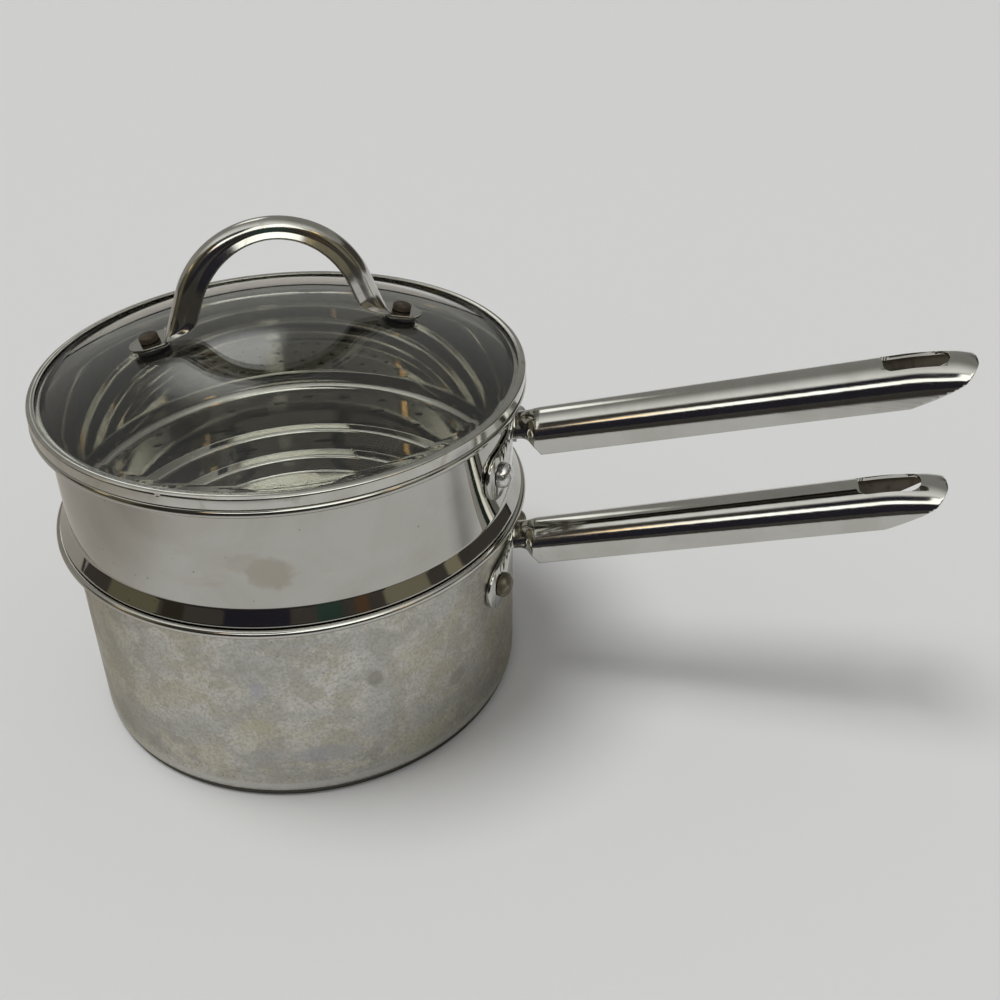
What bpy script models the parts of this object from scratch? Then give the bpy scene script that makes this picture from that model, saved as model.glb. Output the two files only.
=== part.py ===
"""Saucepan with a stepped steamer insert and a glass lid.

Everything is in metres with +Z up. The origin is the centre of the base, on the surface
that the pan stands on, and both long handles point along +X.
"""

import math

import bmesh
import bpy
from mathutils import Matrix, Vector

MM = 0.001

# Clearances between pieces
SEAT_GAP = 0.3 * MM
SHANK_GAP = 0.3 * MM

# Roundness
ROUND_SEGMENTS = 48
SMALL_SEGMENTS = 16
HOLE_SEGMENTS = 8

# Pan and steamer walls, which share one outer radius and one rim
WALL_RADIUS = 90.0 * MM
RIM_OVERHANG = 3.5 * MM
RIM_BEAD = 1.7 * MM
RIM_FLARE_HEIGHT = 5.8 * MM

# Saucepan
PAN_SHEET = 0.9 * MM
PAN_RIM_HEIGHT = 84.5 * MM
PAN_CORNER = 1.5 * MM

# Heat spreading base
CAP_INSET = 0.9 * MM
CAP_SHEET = 0.6 * MM
CAP_CORNER = 0.7 * MM
DISC_THICKNESS = 1.1 * MM

# Steamer insert
STEAMER_SHEET = 0.8 * MM
STEAMER_RIM_RISE = 48.5 * MM
SKIRT_HEIGHT = 5.0 * MM
SEAT_INSET = 0.1 * MM
SEAT_CORNER = 0.9 * MM
STEP_INSETS = (5.2 * MM, 11.2 * MM, 17.7 * MM)
STEP_DEPTHS = (21.6 * MM, 11.0 * MM, 8.5 * MM)
FIRST_STEP_FILLET = 3.3 * MM
STEP_FILLET = 1.2 * MM
FLOOR_CORNER = 2.2 * MM

# Steam holes in the steamer floor
HOLE_DIAMETER = 3.5 * MM
HOLE_RING_SHARES = (0.114, 0.314, 0.514, 0.713)
HOLE_PITCH = 13.0 * MM

# Long handles
HANDLE_SHEET = 1.3 * MM
HANDLE_LENGTH = 169.2 * MM
HANDLE_SLOPE = math.radians(13.0)
HANDLE_ROOT_WIDTH = 18.1 * MM
HANDLE_TIP_WIDTH = 22.2 * MM
HANDLE_ROOT_SIDE = 6.0 * MM
HANDLE_TIP_SIDE = 4.7 * MM
PAN_HANDLE_DROP = 20.3 * MM
STEAMER_HANDLE_DROP = 18.5 * MM
NECK_LENGTH = 4.0 * MM
NECK_SHOULDER_START = 7.0 * MM
NECK_SHOULDER_END = 10.5 * MM
NECK_PINCH = 0.24
NECK_EDGE_RISE = 1.2 * MM
SIDE_CUT_LENGTH = 9.3 * MM
SIDE_CUT_POWER = 1.9
TIP_CUT_LENGTH = 22.5 * MM
TIP_CUT_POWER = 2.0
TIP_CUT_STEPS = 12
TIP_CORNER = 2.6 * MM
TIP_CORNER_START = 0.55
TIP_TRIM = 0.4 * MM
TIP_SPOON_LENGTH = 26.0 * MM
TIP_SPOON_DROP = 2.2 * MM
SLOT_WIDTH = 11.8 * MM
SLOT_LENGTH = 23.0 * MM
SLOT_FROM_TIP = 8.9 * MM
SLOT_INNER_CORNER = 3.0 * MM
SLOT_OUTER_CORNER = 4.8 * MM
HANDLE_ARC_STEPS = 8
ARCH_START = 4

# Foot of a long handle: two ears on the wall, one rivet through each
RIVET_SPACING = 43.0 * MM
RIVET_DROP = 4.9 * MM
EAR_RADIUS = 10.0 * MM
EAR_ARC = (-60, -250)
FOOT_MARGIN = 0.8 * MM
FOOT_CROWN_ARC = (140, 90)
FOOT_MOUTH_ARC = (170, 90)
FOOT_BEND_STEP = 4.0 * MM

# Handle rivets
RIVET_SHANK = 4.4 * MM
RIVET_HEAD = 10.0 * MM
RIVET_HEAD_HEIGHT = 4.6 * MM
RIVET_TAIL = 8.0 * MM
RIVET_TAIL_HEIGHT = 1.2 * MM

# Rivet heads and tails as shares of their radius and height, from the middle outwards
HANDLE_HEAD_SHAPE = ((0.0, 1.0), (0.55, 0.88), (0.88, 0.58), (1.0, 0.2), (1.0, 0.0))
LID_HEAD_SHAPE = ((0.0, 1.0), (0.78, 0.94), (0.98, 0.7), (0.96, 0.0))
HANDLE_TAIL_SHAPE = ((1.0, 0.0), (1.0, 0.6), (0.8, 1.0), (0.0, 1.0))
LID_TAIL_SHAPE = ((1.0, 0.0), (0.85, 1.0), (0.0, 1.0))

# Lid band and glass
BAND_OVERHANG = 1.4 * MM
BAND_SHEET = 0.5 * MM
BAND_LIP = 3.0 * MM
BAND_LIP_CROWN = 0.3 * MM
BAND_SKIRT_INSET = 3.0 * MM
BAND_SKIRT_HEIGHT = 3.4 * MM
BAND_NOTCH_WIDTH = 5.0 * MM
BAND_NOTCH_DEPTH = 1.4 * MM
BAND_NOTCH_ANGLE = math.radians(-96.7)
GLASS_THICKNESS = 3.0 * MM
GLASS_FLAT_WIDTH = 4.1 * MM
GLASS_DOME_RADIUS = 220.0 * MM
GLASS_DOME_STEPS = 7

# Lid handle, bent from one strip
BAIL_ANGLE = math.radians(25.2)
BAIL_SHEET = 1.3 * MM
BAIL_HEIGHT = 41.1 * MM
BAIL_FOOT_REACH = 8.8 * MM
BAIL_LEG_LEAN = math.radians(20.0)
BAIL_BEND = 1.2 * MM
BAIL_BEND_STEPS = 3
BAIL_TOP_WIDTH = 12.4 * MM
BAIL_TOP_DEPTH = 6.6 * MM
BAIL_LEG_DEPTH = 9.1 * MM
BAIL_RIB_WIDTH_SHARE = 0.77
BAIL_RIB_DEPTH_SHARE = 0.62
BAIL_RIB_STEPS = 8
BAIL_FLATTENING = 9.5 * MM
BAIL_FLATTENING_STEPS = 5
BAIL_ARC_STEPS = 8
TONGUE_WIDTH = 14.0 * MM
TONGUE_END = 8.0 * MM
TONGUE_STATIONS = (0.0, 0.45, 0.75, 0.93, 0.995)

# Lid rivets and what they clamp
LID_RIVET_SPACING = 94.6 * MM
LID_RIVET_SHANK = 4.0 * MM
LID_RIVET_HEAD = 7.3 * MM
LID_RIVET_HEAD_HEIGHT = 2.6 * MM
LID_RIVET_TAIL = 6.6 * MM
LID_RIVET_TAIL_HEIGHT = 1.4 * MM
GLASS_HOLE = 6.4 * MM
SEAL_DIAMETER = 12.4 * MM
SEAL_THICKNESS = 1.2 * MM
WASHER_DIAMETER = 11.0 * MM
WASHER_THICKNESS = 1.0 * MM

# Radii that follow from the sizes above
RIM_RADIUS = WALL_RADIUS + RIM_OVERHANG
CAP_RADIUS = WALL_RADIUS - CAP_INSET
SEAT_RADIUS = RIM_RADIUS - SEAT_INSET
STEP_RADII = tuple(WALL_RADIUS - inset for inset in STEP_INSETS)
FLOOR_RADIUS = STEP_RADII[-1] - FLOOR_CORNER
BAND_RADIUS = RIM_RADIUS + BAND_OVERHANG
BAND_SKIRT_RADIUS = RIM_RADIUS - BAND_SKIRT_INSET
RIVET_ANGLE = math.asin(RIVET_SPACING / 2 / WALL_RADIUS)
BAIL_RADIUS = LID_RIVET_SPACING / 2 - BAIL_FOOT_REACH

# Heights that follow from the sizes above
DISC_BASE = CAP_SHEET + SEAT_GAP
DISC_TOP = DISC_BASE + DISC_THICKNESS
PAN_UNDERSIDE = DISC_TOP + SEAT_GAP
STEAMER_SEAT = PAN_RIM_HEIGHT + RIM_BEAD + SEAT_GAP
STEAMER_RIM_HEIGHT = STEAMER_SEAT + STEAMER_RIM_RISE
BAND_BASE = STEAMER_RIM_HEIGHT + RIM_BEAD + SEAT_GAP
GLASS_EDGE_RADIUS = BAND_RADIUS - BAND_SHEET - SEAT_GAP
GLASS_EDGE_TOP = BAND_BASE + BAND_SHEET + SEAT_GAP + GLASS_THICKNESS
GLASS_DOME_START = GLASS_EDGE_RADIUS - GLASS_FLAT_WIDTH
TILT_AT_RIVET = math.asin(LID_RIVET_SPACING / 2 / GLASS_DOME_RADIUS)

# Finishes: colour, metallic value and roughness
FINISHES = {
    "satin_steel": ((0.52, 0.50, 0.46), 1.0, 0.32),
    "mirror_steel": ((0.62, 0.61, 0.58), 1.0, 0.08),
    "handle_steel": ((0.56, 0.54, 0.50), 1.0, 0.16),
    "aluminium": ((0.70, 0.70, 0.70), 1.0, 0.40),
    "tarnished_rivet": ((0.22, 0.19, 0.15), 0.8, 0.50),
    "bright_rivet": ((0.62, 0.62, 0.62), 1.0, 0.22),
    "clear_glass": ((0.70, 0.76, 0.72), 0.0, 0.05),
    "seal_rubber": ((0.05, 0.05, 0.05), 0.0, 0.60),
}


def clear_scene():
    for old in list(bpy.data.objects):
        bpy.data.objects.remove(old, do_unlink=True)


def piece_material(name, finish):
    """Make one piece's own material from its finish."""
    colour, metallic, roughness = FINISHES[finish]
    material = bpy.data.materials.new(name)
    material.use_nodes = True
    shader = material.node_tree.nodes["Principled BSDF"]
    shader.inputs["Base Color"].default_value = (*colour, 1.0)
    shader.inputs["Metallic"].default_value = metallic
    shader.inputs["Roughness"].default_value = roughness
    material.diffuse_color = (*colour, 1.0)
    return material


def mesh_object(name, bm, finish=None, parent=None):
    """Turn a bmesh into a smooth shaded object under its body's empty."""
    bmesh.ops.remove_doubles(bm, verts=bm.verts, dist=0.002 * MM)
    bmesh.ops.recalc_face_normals(bm, faces=bm.faces)
    mesh = bpy.data.meshes.new(name)
    bm.to_mesh(mesh)
    bm.free()
    mesh.shade_smooth()
    mesh.set_sharp_from_angle(angle=math.radians(35))
    thing = bpy.data.objects.new(name, mesh)
    bpy.context.collection.objects.link(thing)
    if finish is not None:
        mesh.materials.append(piece_material(name, finish))
    if parent is not None:
        thing.parent = parent
        thing.matrix_parent_inverse = Matrix.Translation(parent.location).inverted()
    return thing


def body_empty(name, height):
    """Make the empty that carries one lift-off body, on the common axis."""
    empty = bpy.data.objects.new(name, None)
    empty.location = (0.0, 0.0, height)
    bpy.context.collection.objects.link(empty)
    return empty


def cutter_object(name, bm):
    """Make a guide that a Boolean modifier uses and that is no part of the model."""
    cutter = mesh_object(name, bm)
    cutter.hide_render = True
    cutter.display_type = "WIRE"
    return cutter


def add_boolean(thing, other, operation):
    modifier = thing.modifiers.new(other.name, "BOOLEAN")
    modifier.object = other
    modifier.operation = operation
    modifier.solver = "EXACT"


def turned(profile, segments, place=None):
    """Spin a closed outline of (radius, height) points into a round solid."""
    bm = bmesh.new()
    ring = [bm.verts.new((radius, 0.0, height)) for radius, height in profile]
    for index, vert in enumerate(ring):
        bm.edges.new((vert, ring[(index + 1) % len(ring)]))
    bmesh.ops.spin(
        bm,
        geom=bm.verts[:] + bm.edges[:],
        cent=(0.0, 0.0, 0.0),
        axis=(0.0, 0.0, 1.0),
        dvec=(0.0, 0.0, 0.0),
        angle=2 * math.pi,
        steps=segments,
        use_merge=True,
    )
    bmesh.ops.remove_doubles(bm, verts=bm.verts, dist=0.002 * MM)
    flat = [face for face in bm.faces if face.calc_area() < 1e-12]
    bmesh.ops.delete(bm, geom=flat, context="FACES_ONLY")
    loose = [edge for edge in bm.edges if not edge.link_faces]
    bmesh.ops.delete(bm, geom=loose, context="EDGES")
    if place is not None:
        bmesh.ops.transform(bm, matrix=place, verts=bm.verts)
    return bm


def arc_points(centre, radius, start, end, steps):
    """Return points along an arc, angles in degrees, both ends included."""
    points = []
    for step in range(steps + 1):
        angle = math.radians(start + (end - start) * step / steps)
        points.append((centre[0] + radius * math.cos(angle), centre[1] + radius * math.sin(angle)))
    return points


def offset_path(path, distance):
    """Shift a polyline to its left, keeping the sheet between both lines even.

    The last point is on the axis, where the sheet is level.
    """
    shifted = []
    for index, point in enumerate(path):
        before = Vector(path[max(index - 1, 0)])
        here = Vector(point)
        after = Vector(path[min(index + 1, len(path) - 1)])
        normals = []
        for one, two in ((before, here), (here, after)):
            run = two - one
            if run.length > 0:
                normals.append(Vector((-run.y, run.x)).normalized())
        mean = sum(normals, Vector((0.0, 0.0))).normalized()
        stretch = 1 / max(mean.dot(normals[0]), 0.5)
        moved = here + mean * distance * stretch
        if here.x == 0:
            moved = here + normals[0] * distance
            moved.x = 0.0
        shifted.append((moved.x, moved.y))
    return shifted


def vessel_profile(outer, sheet, rim_height):
    """Close the outline of a drawn vessel: outer line, inner line and rolled rim.

    The outer line runs from under the rim down to the axis.
    """
    inner = offset_path(outer, -sheet)
    bead = arc_points((RIM_RADIUS, rim_height), RIM_BEAD, -140, 170, 8)
    return bead[::-1] + outer + inner[::-1]


def wall_top(rim_height):
    """Return the point at which the straight wall starts to flare out to the rim."""
    return (WALL_RADIUS, rim_height - RIM_FLARE_HEIGHT)


def round_stock(diameter, length, segments, place):
    """Return a plain cylinder of the given length, centred on its place."""
    bm = bmesh.new()
    bmesh.ops.create_cone(
        bm,
        cap_ends=True,
        segments=segments,
        radius1=diameter / 2,
        radius2=diameter / 2,
        depth=length,
        matrix=place,
    )
    return bm


def joined(pieces):
    """Collect several separate closed shapes in one bmesh."""
    bm = bmesh.new()
    for piece in pieces:
        mesh = bpy.data.meshes.new("collected")
        piece.to_mesh(mesh)
        piece.free()
        bm.from_mesh(mesh)
        bpy.data.meshes.remove(mesh)
    return bm


def wall_axis(angle, height, radius):
    """Place local +Z along the outward radius of the wall at an angle and a height."""
    turn = Matrix.Rotation(angle, 4, "Z")
    lean = Matrix.Rotation(math.pi / 2, 4, "Y")
    return turn @ Matrix.Translation((radius, 0.0, height)) @ lean


def rivet_sides():
    return (("near", -1), ("far", 1))


def shank_cutter(name, height):
    """Make the two clearance holes of one long handle as a single cutter."""
    reach = 14.0 * MM
    holes = []
    for _, side in rivet_sides():
        place = wall_axis(side * RIVET_ANGLE, height, WALL_RADIUS)
        holes.append(round_stock(RIVET_SHANK + 2 * SHANK_GAP, reach, SMALL_SEGMENTS, place))
    return cutter_object(name, joined(holes))


def smooth_step(value):
    value = min(max(value, 0.0), 1.0)
    return value * value * (3 - 2 * value)


def channel_section(width, edge, pinch, crown):
    """Return the closed outline of the round-topped channel, as (across, up) points.

    The edge is the height of its two lower edges, measured from the arch centre. Pinch
    and crown are the shares of width and arch height that are left where it is pressed.
    """
    outline = []
    for radius in (width / 2, width / 2 - HANDLE_SHEET):
        edge_angle = math.degrees(math.asin(max(edge, 0.0) / radius))
        foot = radius * math.cos(math.radians(edge_angle))
        first = edge_angle + ARCH_START
        line = [(-foot, edge)]
        line += arc_points((0.0, 0.0), radius, 180 - first, first, HANDLE_ARC_STEPS)
        line.append((foot, edge))
        outline += line if not outline else line[::-1]
    return [(across * pinch, up * crown if up > 0 else up) for across, up in outline]


def handle_station(along):
    """Return width, edge, pinch and crown of a long handle at a distance from the wall."""
    share = along / HANDLE_LENGTH
    width = HANDLE_ROOT_WIDTH + (HANDLE_TIP_WIDTH - HANDLE_ROOT_WIDTH) * share
    full_side = HANDLE_ROOT_SIDE + (HANDLE_TIP_SIDE - HANDLE_ROOT_SIDE) * share
    shoulder = (along - NECK_SHOULDER_START) / (NECK_SHOULDER_END - NECK_SHOULDER_START)
    pinch = 1 - NECK_PINCH * (1 - smooth_step(shoulder))
    into_cut = min(max(along - NECK_LENGTH, 0.0) / SIDE_CUT_LENGTH, 1.0)
    edge = NECK_EDGE_RISE - (NECK_EDGE_RISE + full_side) * into_cut ** SIDE_CUT_POWER
    into_spoon = (along - HANDLE_LENGTH + TIP_SPOON_LENGTH) / TIP_SPOON_LENGTH
    crown = 1 - TIP_SPOON_DROP / (width / 2) * smooth_step(into_spoon)
    return width, edge, pinch, crown


def loft(sections):
    """Extrude a closed outline from station to station and cap both ends."""
    bm = bmesh.new()
    face = bm.faces.new([bm.verts.new(point) for point in sections[0]])
    for index, section in enumerate(sections[1:]):
        grown = bmesh.ops.extrude_face_region(bm, geom=[face])["geom"]
        if index > 0:
            bmesh.ops.delete(bm, geom=[face], context="FACES_ONLY")
        face = next(item for item in grown if isinstance(item, bmesh.types.BMFace))
        for vert, point in zip(face.verts, section):
            vert.co = point
    return bm


def handle_stations():
    """Return the distances from the wall at which the channel has a section."""
    cut = [NECK_LENGTH + SIDE_CUT_LENGTH * share for share in (0.0, 0.25, 0.5, 0.75, 1.0)]
    plain = [HANDLE_LENGTH * share for share in (0.3, 0.6)]
    spoon = [HANDLE_LENGTH - TIP_SPOON_LENGTH * share for share in (1.0, 0.75, 0.5, 0.25, 0.0)]
    return [HANDLE_SHEET / 2 + SEAT_GAP] + cut + plain + spoon


def handle_point(root_height, along, across, up):
    """Map a channel point to the world: sections stay upright, the run slopes up."""
    reach = along * math.cos(HANDLE_SLOPE)
    rise = along * math.sin(HANDLE_SLOPE)
    return (WALL_RADIUS + reach, across, root_height + rise + up / math.cos(HANDLE_SLOPE))


def channel_bmesh(root_height):
    """Build the long round-topped channel, square at both ends."""
    sections = []
    for along in handle_stations():
        outline = channel_section(*handle_station(along))
        sections.append([handle_point(root_height, along, across, up) for across, up in outline])
    return loft(sections)


def foot_outline():
    """Return the outline of the foot as (across, height over the rivets) points.

    It is an arch with two round ears, like the end of the strip before it is curved.
    """
    half = RIVET_SPACING / 2
    neck_width, _, pinch, _ = handle_station(0.0)
    crown = neck_width / 2 + FOOT_MARGIN
    mouth = pinch * neck_width / 2 - HANDLE_SHEET
    ear = arc_points((-half, 0.0), EAR_RADIUS, *EAR_ARC, 7)
    arch_top = arc_points((0.0, RIVET_DROP), crown, *FOOT_CROWN_ARC, 2)
    notch = arc_points((0.0, RIVET_DROP), mouth, *FOOT_MOUTH_ARC, 3)
    left_outer = ear + arch_top
    right_outer = [(-across, up) for across, up in left_outer[-2::-1]]
    right_inner = [(-across, up) for across, up in notch]
    return left_outer + right_outer + right_inner + notch[-2::-1]


def foot_bmesh(rivet_height):
    """Build the foot flat, then bend it round the wall."""
    inner_radius = WALL_RADIUS + SEAT_GAP
    bm = bmesh.new()
    outline = [bm.verts.new((0.0, across, up)) for across, up in foot_outline()]
    face = bm.faces.new(outline)
    grown = bmesh.ops.extrude_face_region(bm, geom=[face])["geom"]
    fresh = [item for item in grown if isinstance(item, bmesh.types.BMVert)]
    bmesh.ops.translate(bm, vec=(HANDLE_SHEET, 0.0, 0.0), verts=fresh)
    reach = RIVET_SPACING / 2 + EAR_RADIUS
    lines = int(reach / FOOT_BEND_STEP)
    for line in range(-lines, lines + 1):
        bmesh.ops.bisect_plane(
            bm,
            geom=bm.verts[:] + bm.edges[:] + bm.faces[:],
            plane_co=(0.0, line * FOOT_BEND_STEP, 0.0),
            plane_no=(0.0, 1.0, 0.0),
            dist=0.001 * MM,
        )
    bmesh.ops.triangulate(bm, faces=bm.faces)
    for vert in bm.verts:
        depth, across, up = vert.co
        radius = inner_radius + depth
        angle = math.asin(across / WALL_RADIUS)
        vert.co = (radius * math.cos(angle), radius * math.sin(angle), rivet_height + up)
    return bm


def extruded(outline, along):
    """Turn a flat closed outline of world points into a prism."""
    bm = bmesh.new()
    face = bm.faces.new([bm.verts.new(point) for point in outline])
    grown = bmesh.ops.extrude_face_region(bm, geom=[face])["geom"]
    fresh = [item for item in grown if isinstance(item, bmesh.types.BMVert)]
    bmesh.ops.translate(bm, vec=along, verts=fresh)
    return bm


def tip_cutter(name, root_height):
    """Make the block that rounds off the free end: long on top, short below."""
    width, edge, _, crown_share = handle_station(HANDLE_LENGTH)
    crown = crown_share * width / 2
    spare = 4.0 * MM
    outline = []
    for step in range(TIP_CUT_STEPS + 1):
        share = step / TIP_CUT_STEPS
        back = TIP_CUT_LENGTH * (1 - share) ** TIP_CUT_POWER
        into_corner = max(share - TIP_CORNER_START, 0.0) / (1 - TIP_CORNER_START)
        back += TIP_CORNER * (1 - math.sqrt(1 - into_corner ** 2))
        outline.append((HANDLE_LENGTH - TIP_TRIM - back, edge + (crown - edge) * share))
    outline.append((outline[-1][0], crown + spare))
    outline.append((HANDLE_LENGTH + spare, crown + spare))
    outline.append((HANDLE_LENGTH + spare, edge - 2 * spare))
    outline.append((outline[0][0] - spare, edge - 2 * spare))
    outline.append((outline[0][0] - spare, edge - spare))
    points = [handle_point(root_height, along, -width, up) for along, up in outline]
    return cutter_object(name, extruded(points, (0.0, 2 * width, 0.0)))


def slot_cutter(name, root_height):
    """Make the hanging slot: squarish at the pan side, rounder at the free end."""
    far = HANDLE_LENGTH - SLOT_FROM_TIP
    near = far - SLOT_LENGTH
    corners = (
        (far, 1, SLOT_OUTER_CORNER, 0),
        (near, 1, SLOT_INNER_CORNER, 90),
        (near, -1, SLOT_INNER_CORNER, 180),
        (far, -1, SLOT_OUTER_CORNER, 270),
    )
    outline = []
    for end, side, corner, start in corners:
        inset = -corner if end == far else corner
        centre = (end + inset, side * (SLOT_WIDTH / 2 - corner))
        outline += arc_points(centre, corner, start, start + 90, 4)
    points = [handle_point(root_height, along, across, 0.0) for along, across in outline]
    return cutter_object(name, extruded(points, (0.0, 0.0, HANDLE_TIP_WIDTH)))


def long_handle(prefix, rim_height, drop, parent):
    """Build one long handle: foot and channel in one sheet, slot and slanted tip cut out."""
    root_height = rim_height - drop
    rivet_height = root_height - RIVET_DROP
    handle = mesh_object(prefix + "_handle", foot_bmesh(rivet_height), "handle_steel", parent)
    channel = cutter_object(prefix + "_handle_channel", channel_bmesh(root_height))
    add_boolean(channel, tip_cutter(prefix + "_tip_cut", root_height), "DIFFERENCE")
    add_boolean(channel, slot_cutter(prefix + "_slot_cut", root_height), "DIFFERENCE")
    add_boolean(handle, channel, "UNION")
    add_boolean(handle, shank_cutter(prefix + "_ear_holes", rivet_height), "DIFFERENCE")
    return handle


def rivet_profile(head, shank, tail):
    """Return a rivet's closed outline from the middle of its head to that of its tail.

    Head and tail are (diameter, seat, height, shape); the shank is a diameter.
    """
    head_diameter, head_seat, head_height, head_shape = head
    tail_diameter, tail_seat, tail_height, tail_shape = tail
    profile = [(head_diameter / 2 * out, head_seat + head_height * up) for out, up in head_shape]
    profile += [(shank / 2, head_seat), (shank / 2, tail_seat)]
    profile += [(tail_diameter / 2 * out, tail_seat - tail_height * down) for out, down in tail_shape]
    return profile


def handle_rivets(prefix, rim_height, drop, sheet, finish, parent):
    """Build both rivets of one long handle, shank through ear and wall."""
    height = rim_height - drop - RIVET_DROP
    wall_flat = WALL_RADIUS * (1 - math.cos(math.pi / ROUND_SEGMENTS))
    tail_bow = (RIVET_TAIL / 2) ** 2 / (2 * WALL_RADIUS)
    head_seat = WALL_RADIUS + 2 * SEAT_GAP + HANDLE_SHEET
    tail_seat = WALL_RADIUS - sheet - wall_flat - tail_bow - SEAT_GAP
    profile = rivet_profile(
        (RIVET_HEAD, head_seat, RIVET_HEAD_HEIGHT, HANDLE_HEAD_SHAPE),
        RIVET_SHANK,
        (RIVET_TAIL, tail_seat, RIVET_TAIL_HEIGHT, HANDLE_TAIL_SHAPE),
    )
    for name, side in rivet_sides():
        place = wall_axis(side * RIVET_ANGLE, height, 0.0)
        bm = turned(profile, SMALL_SEGMENTS, place)
        mesh_object(prefix + "_rivet_" + name, bm, finish, parent)


def saucepan(body):
    """Build the pan: drawn shell, heat spreading base, handle and rivets."""
    corner = (WALL_RADIUS - PAN_CORNER, PAN_UNDERSIDE + PAN_CORNER)
    outer = [wall_top(PAN_RIM_HEIGHT)]
    outer += arc_points(corner, PAN_CORNER, 0, -90, 3)
    outer += [(0.0, PAN_UNDERSIDE)]
    profile = vessel_profile(outer, PAN_SHEET, PAN_RIM_HEIGHT)
    shell = mesh_object("saucepan_shell", turned(profile, ROUND_SEGMENTS), "satin_steel", body)
    rivet_height = PAN_RIM_HEIGHT - PAN_HANDLE_DROP - RIVET_DROP
    add_boolean(shell, shank_cutter("saucepan_wall_holes", rivet_height), "DIFFERENCE")

    cap_outer = [(CAP_RADIUS, DISC_TOP), (CAP_RADIUS, CAP_CORNER)]
    cap_outer += [(CAP_RADIUS - CAP_CORNER, 0.0), (0.0, 0.0)]
    cap_inner = [(0.0, CAP_SHEET), (CAP_RADIUS - CAP_SHEET, CAP_SHEET)]
    cap_inner += [(CAP_RADIUS - CAP_SHEET, DISC_TOP)]
    cap = turned(cap_outer + cap_inner, ROUND_SEGMENTS)
    mesh_object("saucepan_base_cap", cap, "satin_steel", body)

    disc_radius = CAP_RADIUS - CAP_SHEET - SEAT_GAP
    disc_profile = [(0.0, DISC_BASE), (disc_radius, DISC_BASE), (disc_radius, DISC_TOP), (0.0, DISC_TOP)]
    disc = turned(disc_profile, ROUND_SEGMENTS)
    mesh_object("saucepan_heat_disc", disc, "aluminium", body)

    long_handle("saucepan", PAN_RIM_HEIGHT, PAN_HANDLE_DROP, body)
    handle_rivets("saucepan", PAN_RIM_HEIGHT, PAN_HANDLE_DROP, PAN_SHEET, "tarnished_rivet", body)


def steamer_outer_line():
    """Return the outside of the steamer from under its rim down to the axis."""
    line = [wall_top(STEAMER_RIM_HEIGHT)]
    line.append((WALL_RADIUS, STEAMER_SEAT + SKIRT_HEIGHT))
    line.append((SEAT_RADIUS, STEAMER_SEAT + SEAT_CORNER))
    line.append((SEAT_RADIUS - SEAT_CORNER, STEAMER_SEAT))
    ledge = STEAMER_SEAT
    fillet = FIRST_STEP_FILLET
    for index, (radius, depth) in enumerate(zip(STEP_RADII, STEP_DEPTHS)):
        steps = 3 if index == 0 else 1
        line += arc_points((radius + fillet, ledge - fillet), fillet, 90, 180, steps)
        ledge -= depth
        last = index == len(STEP_RADII) - 1
        corner = FLOOR_CORNER if last else STEP_FILLET
        steps = 2 if last else 1
        line += arc_points((radius - corner, ledge + corner), corner, 0, -90, steps)
        fillet = STEP_FILLET
    line.append((0.0, ledge))
    return line


def steam_hole_cutter():
    """Make the rings of steam holes as one cutter."""
    floor = STEAMER_SEAT - sum(STEP_DEPTHS)
    holes = []
    for share in HOLE_RING_SHARES:
        radius = FLOOR_RADIUS * share
        count = round(2 * math.pi * radius / HOLE_PITCH)
        for index in range(count):
            angle = 2 * math.pi * index / count
            place = Matrix.Translation((radius * math.cos(angle), radius * math.sin(angle), floor))
            holes.append(round_stock(HOLE_DIAMETER, 6 * STEAMER_SHEET, HOLE_SEGMENTS, place))
    return cutter_object("steam_hole_cut", joined(holes))


def steamer(body):
    """Build the steamer: stepped shell with a holed floor, handle and rivets."""
    profile = vessel_profile(steamer_outer_line(), STEAMER_SHEET, STEAMER_RIM_HEIGHT)
    shell = mesh_object("steamer_shell", turned(profile, ROUND_SEGMENTS), "mirror_steel", body)
    add_boolean(shell, steam_hole_cutter(), "DIFFERENCE")
    rivet_height = STEAMER_RIM_HEIGHT - STEAMER_HANDLE_DROP - RIVET_DROP
    add_boolean(shell, shank_cutter("steamer_wall_holes", rivet_height), "DIFFERENCE")
    long_handle("steamer", STEAMER_RIM_HEIGHT, STEAMER_HANDLE_DROP, body)
    handle_rivets(
        "steamer", STEAMER_RIM_HEIGHT, STEAMER_HANDLE_DROP, STEAMER_SHEET, "bright_rivet", body
    )


def glass_top(radius):
    """Return the height of the top of the glass at a distance from the axis."""
    if radius >= GLASS_DOME_START:
        return GLASS_EDGE_TOP
    edge = math.sqrt(GLASS_DOME_RADIUS ** 2 - GLASS_DOME_START ** 2)
    return GLASS_EDGE_TOP + math.sqrt(GLASS_DOME_RADIUS ** 2 - radius ** 2) - edge


def lid_rivet_place(side, over_glass):
    """Place local +Z square to the glass at one rivet, at a height over its top face."""
    radius = side * LID_RIVET_SPACING / 2
    turn = Matrix.Rotation(BAIL_ANGLE, 4, "Z")
    foot = Matrix.Translation((radius, 0.0, glass_top(abs(radius))))
    lean = Matrix.Rotation(side * TILT_AT_RIVET, 4, "Y")
    return turn @ foot @ lean @ Matrix.Translation((0.0, 0.0, over_glass))


def lid_sides():
    return (("left", -1), ("right", 1))


def ring_profile(outer, inner, bottom, top):
    return [(inner, bottom), (outer, bottom), (outer, top), (inner, top)]


def lid_holes(name, diameter):
    """Make the two holes for the lid rivets as one cutter."""
    reach = 24.0 * MM
    holes = []
    for _, side in lid_sides():
        holes.append(round_stock(diameter, reach, SMALL_SEGMENTS, lid_rivet_place(side, 0.0)))
    return cutter_object(name, joined(holes))


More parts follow.
